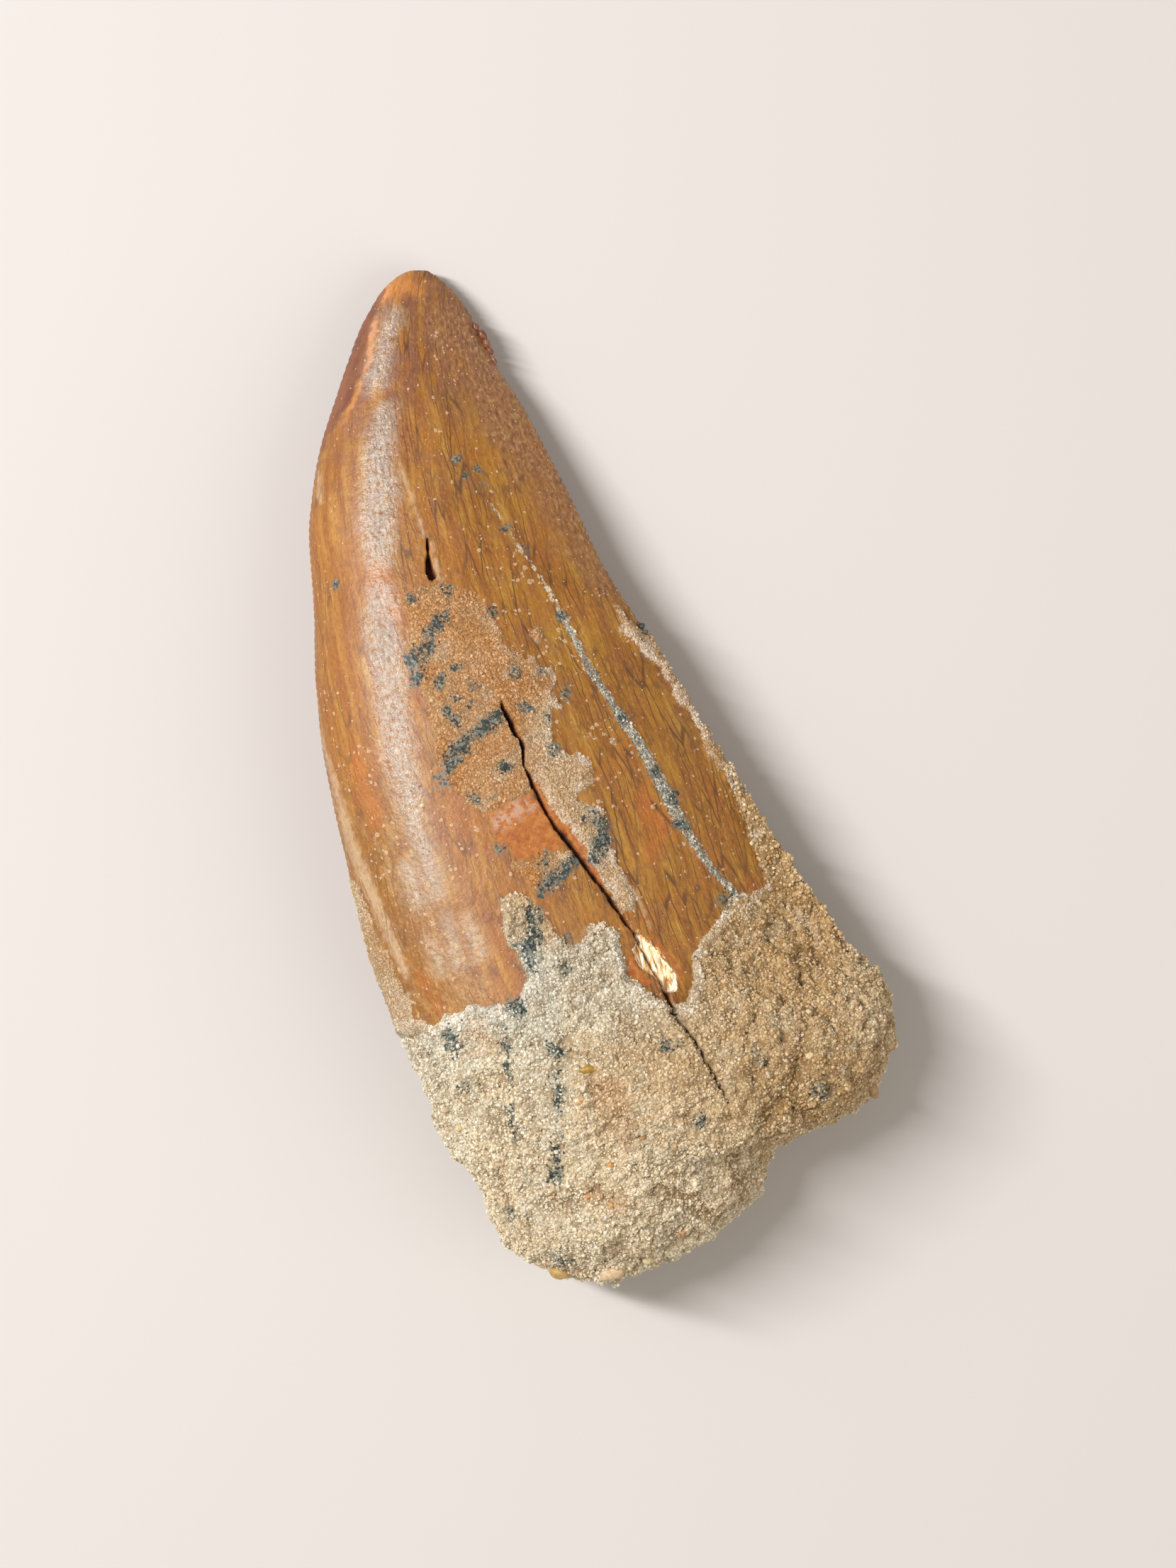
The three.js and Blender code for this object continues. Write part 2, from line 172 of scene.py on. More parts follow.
def inside(x: Array, y: Array, outline: Line) -> Array:
    """Signed distance to a closed outline in plan, in mm: positive within it and negative outside."""
    within = np.zeros(np.shape(x), bool)
    nearest = np.full(np.shape(x), 1e6)
    for (x0, y0), (x1, y1) in zip(outline, outline[1:] + outline[:1]):
        if y0 != y1:
            crossing = (y0 > y) != (y1 > y)
            within ^= crossing & (x < x0 + (x1 - x0) * (y - y0) / (y1 - y0))
        length = (x1 - x0) ** 2 + (y1 - y0) ** 2
        u = np.clip(((x - x0) * (x1 - x0) + (y - y0) * (y1 - y0)) / length, 0, 1)
        nearest = np.minimum(nearest, np.hypot(x - x0 - u * (x1 - x0), y - y0 - u * (y1 - y0)))
    return np.where(within, nearest, -nearest)


def within_path(x: Array, y: Array, path: Line) -> Array:
    """Signed distance to a stroke drawn along a path of (x, y, half width): positive on the stroke."""
    best = np.full(np.shape(x), -1e6)
    if len(path) == 1:
        path = path * 2
    for (x0, y0, r0), (x1, y1, r1) in zip(path, path[1:]):
        length = max((x1 - x0) ** 2 + (y1 - y0) ** 2, 1e-9)
        u = np.clip(((x - x0) * (x1 - x0) + (y - y0) * (y1 - y0)) / length, 0, 1)
        gap = np.hypot(x - x0 - u * (x1 - x0), y - y0 - u * (y1 - y0))
        best = np.maximum(best, r0 + u * (r1 - r0) - gap)
    return best


def within_any(x: Array, y: Array, paths: list[Line]) -> Array:
    """Signed distance to several strokes: that of the one that a place lies deepest in."""
    return np.max([within_path(x, y, path) for path in paths], axis=0)


def lens(s: Array, front: float, rear: float) -> Array:
    """Section of a blade: s to one power times (1 - s) to another, scaled to 1 at its crest."""
    crest = front / (front + rear)
    return s**front * (1 - s) ** rear / (crest**front * (1 - crest) ** rear)


# Forms


@dataclass
class CrownForm:
    """Outline and thickness of the crown: lens sections whose crest lies nearer the front edge."""

    root_y: float = -21.0
    tip: tuple[float, float, float] = (-5.6, 39.5, 1.9)
    front: Stations = field(default_factory=lambda: [
        (-24, -17.4), (-17, -18.3), (-11, -19.1), (-3, -19.45), (3, -19.55), (9, -19.1), (15, -18.1),
        (21, -17.3), (25, -16.1), (29, -14.4), (33, -12.3), (36, -10.4), (38, -8.6), (39, -7.2),
        (39.4, -6.3), (39.5, -5.7)])
    rear: Stations = field(default_factory=lambda: [
        (-24, 14.6), (-12, 12.0), (-3, 10.5), (3, 8.5), (9, 6.3), (15, 4.1), (19, 3.2), (23, 2.1),
        (27, 0.9), (31, -0.6), (35, -1.7), (37, -2.6), (38.5, -3.6), (39.2, -4.3), (39.4, -4.9),
        (39.5, -5.5)])
    top: Stations = field(default_factory=lambda: [
        (-24, 16.1), (-12, 15.5), (0, 14.3), (10, 12.7), (20, 10.4), (28, 8.0), (33, 6.2),
        (36, 4.9), (38, 3.7), (39, 2.8), (39.4, 2.2), (39.5, 1.95)])
    under: Stations = field(default_factory=lambda: [
        (-24, 0.9), (-8, 1.6), (4, 1.7), (20, 0.8), (33, 0), (36, 0.3), (38, 0.8), (39, 1.3),
        (39.4, 1.6), (39.5, 1.85)])
    edge_level: float = 0.44
    outer_section: tuple[float, float] = (0.5, 0.92)
    inner_section: tuple[float, float] = (0.6, 0.85)

    def height(self, s: Array, y: Array, face: Face) -> Array:
        """Height of a face: the edge level, and from there up or down by the lens section."""
        top, under = through(self.top, y), through(self.under, y)
        level = under + self.edge_level * (top - under)
        if face is Face.OUTER:
            return level + (top - level) * lens(s, *self.outer_section)
        return level - (level - under) * lens(s, *self.inner_section)

    def share(self, x: Array, y: Array) -> Array:
        """Where x lies between the front edge, 0, and the rear edge, 1."""
        front, rear = through(self.front, y), through(self.rear, y)
        return np.clip((x - front) / (rear - front), 0, 1)

    def points(self, s: Array, y: Array, face: Face) -> Array:
        """Places of a face at shares s across the blade and stations y along it."""
        front, rear = through(self.front, y), through(self.rear, y)
        return np.stack([front + s * (rear - front), y + 0 * s, self.height(s, y, face)], axis=-1)


@dataclass
class Seam:
    """Ragged line where the sandstone ends on the enamel, one on each face."""

    outer: Line = field(default_factory=lambda: [
        (-22, -17.2), (-16, -17.2), (-15.2, -17.9), (-14.2, -17.0), (-11.5, -16.9), (-8.8, -17.3),
        (-7.9, -16.2), (-7.4, -15.2), (-8.0, -14.0), (-8.6, -12.0), (-8.4, -9.3), (-7.0, -8.7),
        (-6.0, -9.6), (-5.2, -11.6), (-3.9, -13.8), (-3.0, -13.6), (-2.2, -12.5), (-0.9, -12.5),
        (-0.1, -13.7), (-0.2, -16.8), (1.2, -18.1), (2.4, -19.6), (3.9, -19.9), (4.7, -18.6),
        (4.8, -16.4), (6.2, -15.2), (8.2, -13.3), (9.3, -12.3), (10.4, -12.9), (11.7, -12.3),
        (11.3, -9.2), (10.9, -6.0), (10.2, -3.0), (11.2, -1.8), (22, -1.8)])
    sag: float = 6.5
    wave: float = 0.9

    def inner(self) -> Line:
        """Line on the inner face: a plainer wave between the same two ends, worked out by formula."""
        count = len(self.outer) - 1
        i = np.arange(1, count)
        u = (i - 1) / (count - 2)
        (x0, y0), (x1, y1) = self.outer[1], self.outer[count - 1]
        waves = self.wave * (np.sin(2.3 * i) + np.sin(0.9 * i + 1)) * np.sin(math.pi * u)
        y = y0 + (y1 - y0) * u**2.2 + self.sag * u * (1 - u) * (1 - 2 * u) + waves
        return [self.outer[0], *zip(x0 + (x1 - x0) * u, y), self.outer[-1]]

    def sandward(self, points: Array, face: Face) -> Array:
        """Distance in plan from the seam, in mm: positive on the sandstone's side, with ragged edges."""
        line = self.outer if face is Face.OUTER else self.inner()
        region = [*line, (22, -60), (-22, -60)]
        ragged = 0.22 * noise(points, 0.9, 31) + 0.12 * noise(points, 0.4, 32)
        return inside(points[..., 0], points[..., 1], region) + ragged


@dataclass
class SandForm:
    """Outline and thickness of the clump of sandstone."""

    front: Stations = field(default_factory=lambda: [
        (-39.5, -5.4), (-39.4, -6.2), (-39, -8.2), (-37, -11.9), (-35, -13.4), (-33, -13.9),
        (-31, -14.3), (-27, -16.2), (-25, -16.8), (-21, -17.2), (-17.4, -18.1), (-16.4, -17.2),
        (-11, -18.0), (2, -18.6)])
    rear: Stations = field(default_factory=lambda: [
        (-39.5, -4.0), (-39.4, -3.2), (-39, -0.8), (-37, 4.1), (-35, 6.8), (-33, 7.9), (-31.8, 9.2),
        (-31, 13.4), (-29, 17.0), (-27, 18.5), (-24.5, 19.5), (-21, 19.1), (-19, 18.0), (-17, 16.7),
        (-13, 14.7), (-7, 12.3), (-3, 10.8), (-1.9, 9.6), (2, 7.9)])
    top: Stations = field(default_factory=lambda: [
        (-39.5, 8.4), (-39.4, 9.4), (-39, 10.6), (-37, 13.4), (-34, 15.3), (-30, 16.6), (-24, 17.2),
        (-17, 16.9), (2, 15.4)])
    under: Stations = field(default_factory=lambda: [
        (-39.5, 7.0), (-39.4, 6.0), (-39, 4.6), (-37, 1.9), (-34, -0.4), (-30, -1.3), (-18, -1.2),
        (-10, -0.4), (2, 0.8)])
    foot: tuple[float, float, float] = (-4.8, -39.5, 7.6)
    edge_level: float = 0.46
    outer_section: tuple[float, float] = (0.4, 0.52)
    inner_section: tuple[float, float] = (0.42, 0.46)
    lip: float = 0.45
    sunk: float = 0.9
    lump_height: float = 0.32
    lump_width: float = 3.4

    def lumps(self, x: Array, y: Array, turn: float) -> Array:
        """Irregular lumps from -1 to 1: sines whose phases are bent by other sines."""
        a, b = x / self.lump_width, y / self.lump_width
        one = np.sin(2.1 * a + 1.7 * np.sin(1.3 * b + turn))
        two = np.sin(2.3 * b + 1.9 * np.sin(1.7 * a - turn))
        return 0.4 * one + 0.4 * two + 0.2 * np.sin(4.7 * a - 3.9 * b + turn)

    def points(self, s: Array, y: Array, face: Face, crown: CrownForm, seam: Seam) -> tuple[Array, Array]:
        """Places of a face: the clump's own rounded form, a lip on the enamel, and sunk past the seam.

        Args:
            s: share across the clump, from the front side to the rear one.
            y: station along it.
            face: which face.
            crown: the crown that it sits on.
            seam: where it ends.

        Returns:
            The places, and the distance of each from the seam.
        """
        front, rear = through(self.front, y), through(self.rear, y)
        x = front + s * (rear - front)
        top, under = through(self.top, y), through(self.under, y)
        level = under + self.edge_level * (top - under)
        on_crown = smoothstep(-25, -15, y)
        fade = np.minimum(1, 6 * s * (1 - s))
        across = crown.share(x, y)
        enamel = crown.height(across, y, face)
        thick = crown.height(across, y, Face.OUTER) - crown.height(across, y, Face.INNER)
        if face is Face.OUTER:
            own = level + (top - level) * lens(s, *self.outer_section)
            lumps = self.lumps(x, y, 0.3)
        else:
            own = level - (level - under) * lens(s, *self.inner_section)
            lumps = self.lumps(x, y, 2.4)
        sand = own + (enamel + face.value * self.lip * fade - own) * on_crown
        sand = sand + self.lump_height * fade * lumps
        sunk = enamel - face.value * np.minimum(self.sunk, 0.4 * thick)
        places = np.stack([x, y + 0 * s, sand], axis=-1)
        past = seam.sandward(places, face)
        places[..., 2] = sunk + (sand - sunk) * smoothstep(-0.25, 0.3, past)
        return places, past


@dataclass
class Marks:
    """Places of the damage, crusts and stains on the outer face, read from the specimen in mm.

    Outlines are closed and made of (x, y). Strokes are made of (x, y, half width), and a stroke of one
    point is a spot.
    """

    crack: Line = field(default_factory=lambda: [
        (-5.3, 5.2, 0.02), (-5.1, 4.3, 0.1), (-4.9, 3.6, 0.16), (-4.8, 2.9, 0.13), (-4.5, 2.3, 0.12),
        (-4.35, 1.6, 0.17), (-4.5, 0.9, 0.06), (-4.6, 0.2, 0.05), (-4.4, -0.5, 0.13),
        (-4.2, -1.4, 0.1), (-3.95, -2.1, 0.05), (-3.75, -3.1, 0.08), (-3.5, -3.9, 0.06),
        (-3.1, -4.8, 0.14), (-2.7, -5.5, 0.17), (-2.2, -6.5, 0.16), (-1.8, -7.3, 0.15),
        (-1.2, -8.8, 0.14), (-0.5, -10.2, 0.12), (0.2, -11.8, 0.1), (0.8, -13.2, 0.09),
        (1.5, -15.0, 0.03), (2.2, -17.3, 0.05), (2.5, -18.6, 0.12), (2.8, -19.9, 0.09),
        (3.3, -21.3, 0.1), (4.2, -23.3, 0.1), (4.45, -24.2, 0.07), (4.7, -25.0, 0.1),
        (5.1, -26.4, 0.09), (5.5, -27.8, 0.05)])
    pit: Line = field(default_factory=lambda: [
        (-8.4, 18.6, 0.03), (-8.55, 17.3, 0.07), (-8.65, 16.6, 0.22), (-8.6, 15.8, 0.3)])
    chip: Line = field(default_factory=lambda: [
        (1.35, -13.6), (1.15, -14.5), (0.7, -15.0), (0.75, -15.8), (1.1, -16.6), (1.75, -17.2),
        (2.3, -17.8), (2.6, -18.7), (3.3, -18.8), (3.55, -17.6), (3.2, -16.6), (2.6, -15.4), (1.9, -14.4)])
    chip_rims: list[Line] = field(default_factory=lambda: [
        [(0.5, -15.4, 0.25), (0.4, -16.6, 0.4), (1.2, -17.6, 0.35)],
        [(2.2, -14.3, 0.1), (3.0, -15.6, 0.18), (3.7, -16.8, 0.2), (3.9, -18.0, 0.2)]])
    crust: Line = field(default_factory=lambda: [
        (-9.6, 15.1), (-8.9, 15.0), (-7.9, 15.2), (-7.0, 14.7), (-6.0, 14.0), (-5.0, 12.7), (-4.4, 11.4),
        (-4.5, 10.2), (-4.0, 9.3), (-3.3, 8.9), (-3.0, 8.1), (-2.2, 8.1), (-1.9, 7.3), (-1.1, 7.1),
        (-1.0, 5.6), (-1.1, 4.1), (-1.7, 4.0), (-1.95, 2.4), (-1.9, 0.7), (-1.0, 0.4), (0.1, 0.2),
        (0.4, -0.6), (0.3, -1.9), (-0.4, -2.2), (-0.9, -3.1), (0.6, -4.0), (0.8, -5.0), (0.6, -7.0),
        (0.9, -8.2), (1.5, -9.5), (1.9, -11.3), (1.4, -12.3), (0.4, -12.2), (-0.1, -10.6), (-0.6, -8.9),
        (-1.2, -7.3), (-1.6, -6.1), (-2.3, -4.9), (-3.0, -3.6), (-3.5, -2.0), (-4.0, -1.2),
        (-5.4, -2.0), (-8.2, -2.7), (-9.8, -1.5), (-10.4, 0.0), (-10.9, 2.0), (-10.8, 5.0),
        (-11.2, 8.0), (-11.1, 11.5), (-10.7, 14.4)])
    patches: list[Line] = field(default_factory=lambda: [
        [(-7, -6.8), (-2.3, -6.7), (-2.4, -8.1), (-4.8, -9.2), (-6, -8.6), (-7, -7.4)],
        [(-2.2, 9.8), (-1.9, 10.3), (-1.4, 10.4), (-1.1, 9.6), (-1.1, 9.1), (-1.7, 8.85), (-2.1, 9.2)],
        [(0.9, 1.9), (1.4, 1.2), (1.1, 0.9), (0.6, 1.4)],
        [(1.9, 0.9), (2.7, 0.9), (2.4, 0.4)]])
    front_strip: Line = field(default_factory=lambda: [
        (-22, -4.6), (-19.6, -4.8), (-18.9, -5.8), (-18.5, -7.5), (-18.1, -10), (-17.4, -13),
        (-16.8, -15), (-16.0, -17.6), (-22, -17.6)])
    rear_strip: Line = field(default_factory=lambda: [
        (14, -3.4), (9.9, -3.0), (9.3, -1.2), (9.0, 0.3), (8.3, 2.2), (7.4, 3.8), (7.0, 5.2), (6.4, 6.5),
        (5.4, 7.4), (4.7, 8.6), (4.7, 10.1), (4.3, 11.2), (5.0, 10.9), (5.4, 9.6), (6.0, 8.8), (14, 8.8)])
    vein: Line = field(default_factory=lambda: [
        (-3.3, 20.6, 0.0), (-2.9, 19.8, 0.08), (-2.2, 18.2, 0.06), (-1.5, 16, 0.13), (-0.9, 15, 0.08),
        (-0.3, 13.3, 0.16), (0.4, 11.2, 0.16), (0.95, 9.4, 0.26), (1.4, 7.8, 0.26), (1.9, 6, 0.32),
        (2.5, 4.6, 0.3), (2.95, 3.4, 0.34), (3.7, 1.5, 0.36), (4.45, -0.3, 0.42), (5.0, -2.2, 0.5),
        (5.6, -4.2, 0.52), (6.2, -6.4, 0.44), (6.9, -8.2, 0.34), (7.9, -10.5, 0.3), (8.6, -11.6, 0.26),
        (9.2, -12.6, 0.35)])
    window: Line = field(default_factory=lambda: [
        (-8, -3), (-6.3, -2.1), (-4.6, -2.1), (-3.9, -3.3), (-3.2, -5.1), (-2.5, -6.4), (-4.5, -6.4),
        (-6.5, -6.8), (-7, -5.5), (-8, -4.2)])
    crack_lip: Line = field(default_factory=lambda: [
        (-4.1, 0.2, 0.18), (-3.7, -1.3, 0.32), (-3.2, -3.4, 0.36), (-2.5, -4.9, 0.4), (-1.9, -6.0, 0.42),
        (-1.35, -7.4, 0.4), (-0.8, -8.8, 0.32), (-0.2, -10.2, 0.22)])
    stains: list[Line] = field(default_factory=lambda: [
        [(-8.4, 12.4, 0.45), (-9.3, 11.6, 0.4), (-10.2, 10.3, 0.6), (-11.2, 9.7, 0.65), (-11.2, 8.2, 0.4)],
        [(-5.9, 4.2, 0.6), (-7.0, 3.6, 0.5), (-8.2, 3.0, 0.5), (-9.1, 2.3, 0.6), (-10.2, 1.3, 0.5),
         (-10.8, 0.4, 0.5)],
        [(-8.9, 4.7, 0.42)], [(-7.6, 5.7, 0.34)], [(-9.4, 5.5, 0.26)], [(-7.3, 6.7, 0.32)],
        [(-9.6, 7.8, 0.34)], [(-8.7, 6.1, 0.18)], [(-3.8, 4.5, 0.46)], [(-3.9, 7.4, 0.42)],
        [(-1.9, 6.9, 0.22)], [(-6.0, 0.3, 0.4)], [(-8.8, -1.3, 0.36)], [(-7.5, -5.7, 0.42)],
        [(-2.1, 1.0, 0.32)], [(-2.2, 3.2, 0.22)], [(-10.4, 14.2, 0.32)], [(-7.7, 14.5, 0.32)],
        [(-4.6, 12.2, 0.25)], [(-8.3, 8.6, 0.22)],
        [(-2.2, -7.6, 0.36), (-3.6, -8.2, 0.55), (-5.1, -9.2, 0.42)], [(-4.4, -6.9, 0.26)],
        [(-0.6, -4.6, 0.45), (0.2, -5.6, 0.55), (-0.2, -7, 0.66), (-0.8, -7.9, 0.3)],
        [(-0.4, 4.9, 0.3)], [(-0.5, 4.6, 0.1), (-0.2, 4.5, 0.1)],
        [(5, -2.2, 0.38)], [(5.8, -4.3, 0.38)], [(6.3, -6.5, 0.46)], [(2, 5.8, 0.25)],
        [(-2.3, 18.3, 0.24)], [(0.4, 10.7, 0.26)], [(3.4, 2.2, 0.32)], [(-1.35, 16.5, 0.2)],
        [(-4.9, 24.2, 0.16)], [(-3.6, 23.2, 0.18)], [(-4.5, 22.8, 0.2)], [(-3.4, 21.8, 0.14)],
        [(-15.9, 16.6, 0.22)], [(6.4, 8.4, 0.3)],
        [(-6, -11, 0.6), (-6.3, -12.4, 0.5), (-7.2, -13.3, 0.55), (-7.0, -14.8, 0.4)],
        [(-8.9, -17.3, 0.55), (-8.6, -18.2, 0.4)], [(-14.1, -18.6, 0.45), (-13.9, -20, 0.3)],
        [(8.4, -12.9, 0.55)], [(-4.6, -15.4, 0.3)], [(-3.9, -13.2, 0.3)],
        [(-6.6, -20.8, 0.35), (-6.5, -21.6, 0.3)],
        [(-7.0, -23, 0.2), (-7.1, -24.4, 0.25), (-7.4, -25.8, 0.36)],
        [(-7.7, -27.2, 0.1), (-8.0, -29, 0.25), (-8.4, -30.4, 0.65)],
        [(-10.0, -18.8, 0.1), (-10.2, -21.4, 0.3), (-10.5, -23.0, 0.12)],
        [(-10.9, -25.0, 0.25), (-11.0, -27.6, 0.2)],
        [(-13.9, -22.6, 0.3)], [(-9.3, -36.6, 0.4), (-9.2, -37.4, 0.3)], [(-12.7, -33, 0.3)],
        [(8.6, -25.4, 0.4)], [(3.0, -28.7, 0.5)], [(12.5, -28.4, 0.6)], [(1.9, -22.6, 0.5)]])
    bevel: Line = field(default_factory=lambda: [
        (-7.6, 40), (-7.9, 38.1), (-9.5, 35.8), (-10.4, 33.3), (-11.7, 31.0), (-12.7, 29.7), (-14.2, 28.3),
        (-15.9, 26.0), (-18, 24), (-20, 40)])
    pale: list[Line] = field(default_factory=lambda: [
        [(-2.6, 34.2, 0.15), (-1.6, 32.2, 0.25), (-0.6, 30.4, 0.22), (0.1, 28.8, 0.1)],
        [(-8.55, 18.8, 0.06), (-8.75, 20.5, 0.1), (-9.0, 22.5, 0.12), (-9.3, 24.6, 0.06)],
        [(-8.2, 18.4, 0.03), (-8.1, 16.8, 0.1), (-8.0, 15.4, 0.14)],
        [(-15.6, 25.4, 0.12), (-15.9, 23.2, 0.25)], [(-8.0, 38.2, 0.1), (-9.6, 35.4, 0.2)],
        [(1.85, -10.8, 0.03), (2.05, -12.4, 0.06), (2.35, -13.6, 0.04)],
        [(-19.4, 6, 0.12), (-19.0, 1, 0.3), (-18.7, -3, 0.45), (-18.0, -6.5, 0.5), (-17.2, -10, 0.45),
         (-16.5, -13.6, 0.3)]])
    orange: list[Line] = field(default_factory=lambda: [
        [(-8.2, 37.6, 0.5), (-6.8, 38.5, 0.9), (-5.4, 38.0, 0.7)],
        [(3.8, -4.4, 0.9), (4.6, -6.8, 0.8), (3.4, -8.4, 0.4)],
        [(10.3, -12.2, 0.4), (10.9, -13.0, 0.3)], [(-17.0, 3.4, 0.6), (-16.6, -1.6, 0.5)],
        [(-12.9, 16.4, 0.8), (-12.2, 13.2, 0.5)], [(-15.2, -13.8, 0.5), (-14.6, -16.4, 0.4)]])
    bleached: list[Line] = field(default_factory=lambda: [
        [(-7.2, -3.6, 0.6), (-5.8, -2.9, 0.7), (-4.6, -2.7, 0.4)]])
    # The rubbed crest: worn enamel, and a painted highlight where the lamp's sheen falls along it
    wear_and_highlight: list[Line] = field(default_factory=lambda: [
        [(-9.6, 29.0, 0.5), (-10.6, 26.5, 1.1), (-11.2, 23.0, 1.3), (-12.2, 18.0, 1.0)],
        [(-12.6, 15.0, 0.9), (-13.2, 12.0, 1.2), (-13.5, 7.0, 1.1), (-13.7, 1.0, 0.8), (-13.4, -4.0, 0.6),
         (-12.9, -8.0, 0.3)],
        [(-14.9, -5.6, 0.25), (-14.6, -8.2, 0.35)], [(-12.6, -10.0, 0.15), (-12.4, -13.4, 0.3)],
        [(-14.1, -11.6, 0.1), (-13.9, -13.8, 0.2)], [(-11.0, -10.4, 0.1), (-10.6, -13.0, 0.2)],
        [(-7.4, 36.3, 0.5), (-8.8, 34.2, 0.7), (-9.8, 31.6, 0.8)]])
    umber: Line = field(default_factory=lambda: [
        (-5.2, 37.2), (-2.2, 37.2), (0.6, 31), (3.4, 21), (5.6, 13), (5.2, 11.6), (3.4, 12.4),
        (2.4, 14.6), (0.8, 18.5), (-1.4, 24), (-3.4, 28), (-4.6, 31.5), (-5.6, 34.6)])

    def crust_depth(self, x: Array, y: Array) -> Array:
        """Distance inside the sand that sticks to the enamel, in mm, all patches together."""
        parts = [self.crust, *self.patches, self.front_strip, self.rear_strip]
        return np.max([inside(x, y, part) for part in parts], axis=0)

    def stain_depth(self, x: Array, y: Array) -> Array:
        """Distance inside the dark blue-grey mineral stains, in mm."""
        return within_any(x, y, self.stains)


# Meshes


def ring_surface(points: Array, start: Array, end: Array) -> tuple[Array, list[Array]]:
    """Closes a stack of rings into one surface with a fan at each end.

    Args:
        points: rows of rings, shape (rows, around, 3). Each ring runs clockwise seen from the first end.
        start: the point that closes the first ring.
        end: the point that closes the last ring.

    Returns:
        All the points, and the faces as arrays of four and three corners.
    """
    rows, around = points.shape[:2]
    r, c = np.meshgrid(np.arange(rows - 1), np.arange(around), indexing="ij")
    low, low_next = r * around + c, r * around + (c + 1) % around
    quads = np.stack([low, low_next, low_next + around, low + around], axis=-1).reshape(-1, 4)
    ring = np.arange(around)
    after = (ring + 1) % around
    last = (rows - 1) * around
    foot, head = rows * around, rows * around + 1
    fans = [
        np.stack([np.full(around, foot), after, ring], axis=-1),
        np.stack([np.full(around, head), last + ring, last + after], axis=-1),
    ]
    return np.concatenate([points.reshape(-1, 3), [start], [end]]), [quads, np.concatenate(fans)]


def normals(points: Array) -> Array:
    """Outward normals of a stack of rings: the cross product of the steps around and along it."""
    around = np.roll(points, -1, axis=1) - np.roll(points, 1, axis=1)
    along = np.gradient(points, axis=0)
    across = np.cross(around, along)
    return across / np.maximum(np.linalg.norm(across, axis=-1, keepdims=True), 1e-9)


def make_piece(name: str, points: Array, faces: list[Array], smooth: bool = True) -> bpy.types.Object:
    """Makes an object at the origin.

    Args:
        name: name of the piece.
        points: its points, in mm.
        faces: arrays of corners, each array with its own number of corners to a face.
        smooth: whether the faces are shaded as one smooth surface.

    Returns:
        The piece.
    """
    mesh = bpy.data.meshes.new(name)
    mesh.vertices.add(len(points))
    mesh.vertices.foreach_set("co", (points * MM).astype(np.float32).ravel())
    corners = np.concatenate([f.ravel() for f in faces])
    counts = np.concatenate([np.full(len(f), f.shape[1]) for f in faces])
    mesh.loops.add(len(corners))
    mesh.loops.foreach_set("vertex_index", corners.astype(np.int32))
    mesh.polygons.add(len(counts))
    mesh.polygons.foreach_set("loop_start", (np.cumsum(counts) - counts).astype(np.int32))
    mesh.polygons.foreach_set("use_smooth", np.full(len(counts), smooth))
    mesh.update(calc_edges=True)
    piece = bpy.data.objects.new(name, mesh)
    bpy.context.scene.collection.objects.link(piece)
    return piece


def paint(piece: bpy.types.Object, name: str, values: Array) -> None:
    """Stores a number, or a vector, for each point of a piece under a name that its finish reads."""
    kind = "FLOAT" if values.ndim == 1 else "FLOAT_VECTOR"
    layer = piece.data.attributes.new(name, kind, "POINT")
    layer.data.foreach_set("value" if values.ndim == 1 else "vector", values.astype(np.float32).ravel())


def paint_rings(piece: bpy.types.Object, fields: dict[str, Array]) -> None:
    """Stores the fields of a stack of rings; the two end points take those of their nearest ring."""
    for name, values in fields.items():
        flat = values.reshape(-1, *values.shape[2:])
        paint(piece, name, np.concatenate([flat, flat[:1], flat[-1:]]))


# Finishes


def linear(colour: str) -> tuple[float, float, float, float]:
    """Turns an sRGB hex colour into the linear one that a shader takes."""
    parts = [int(colour[i:i + 2], 16) / 255 for i in (1, 3, 5)]
    return (*(p / 12.92 if p <= 0.04045 else ((p + 0.055) / 1.055) ** 2.4 for p in parts), 1.0)


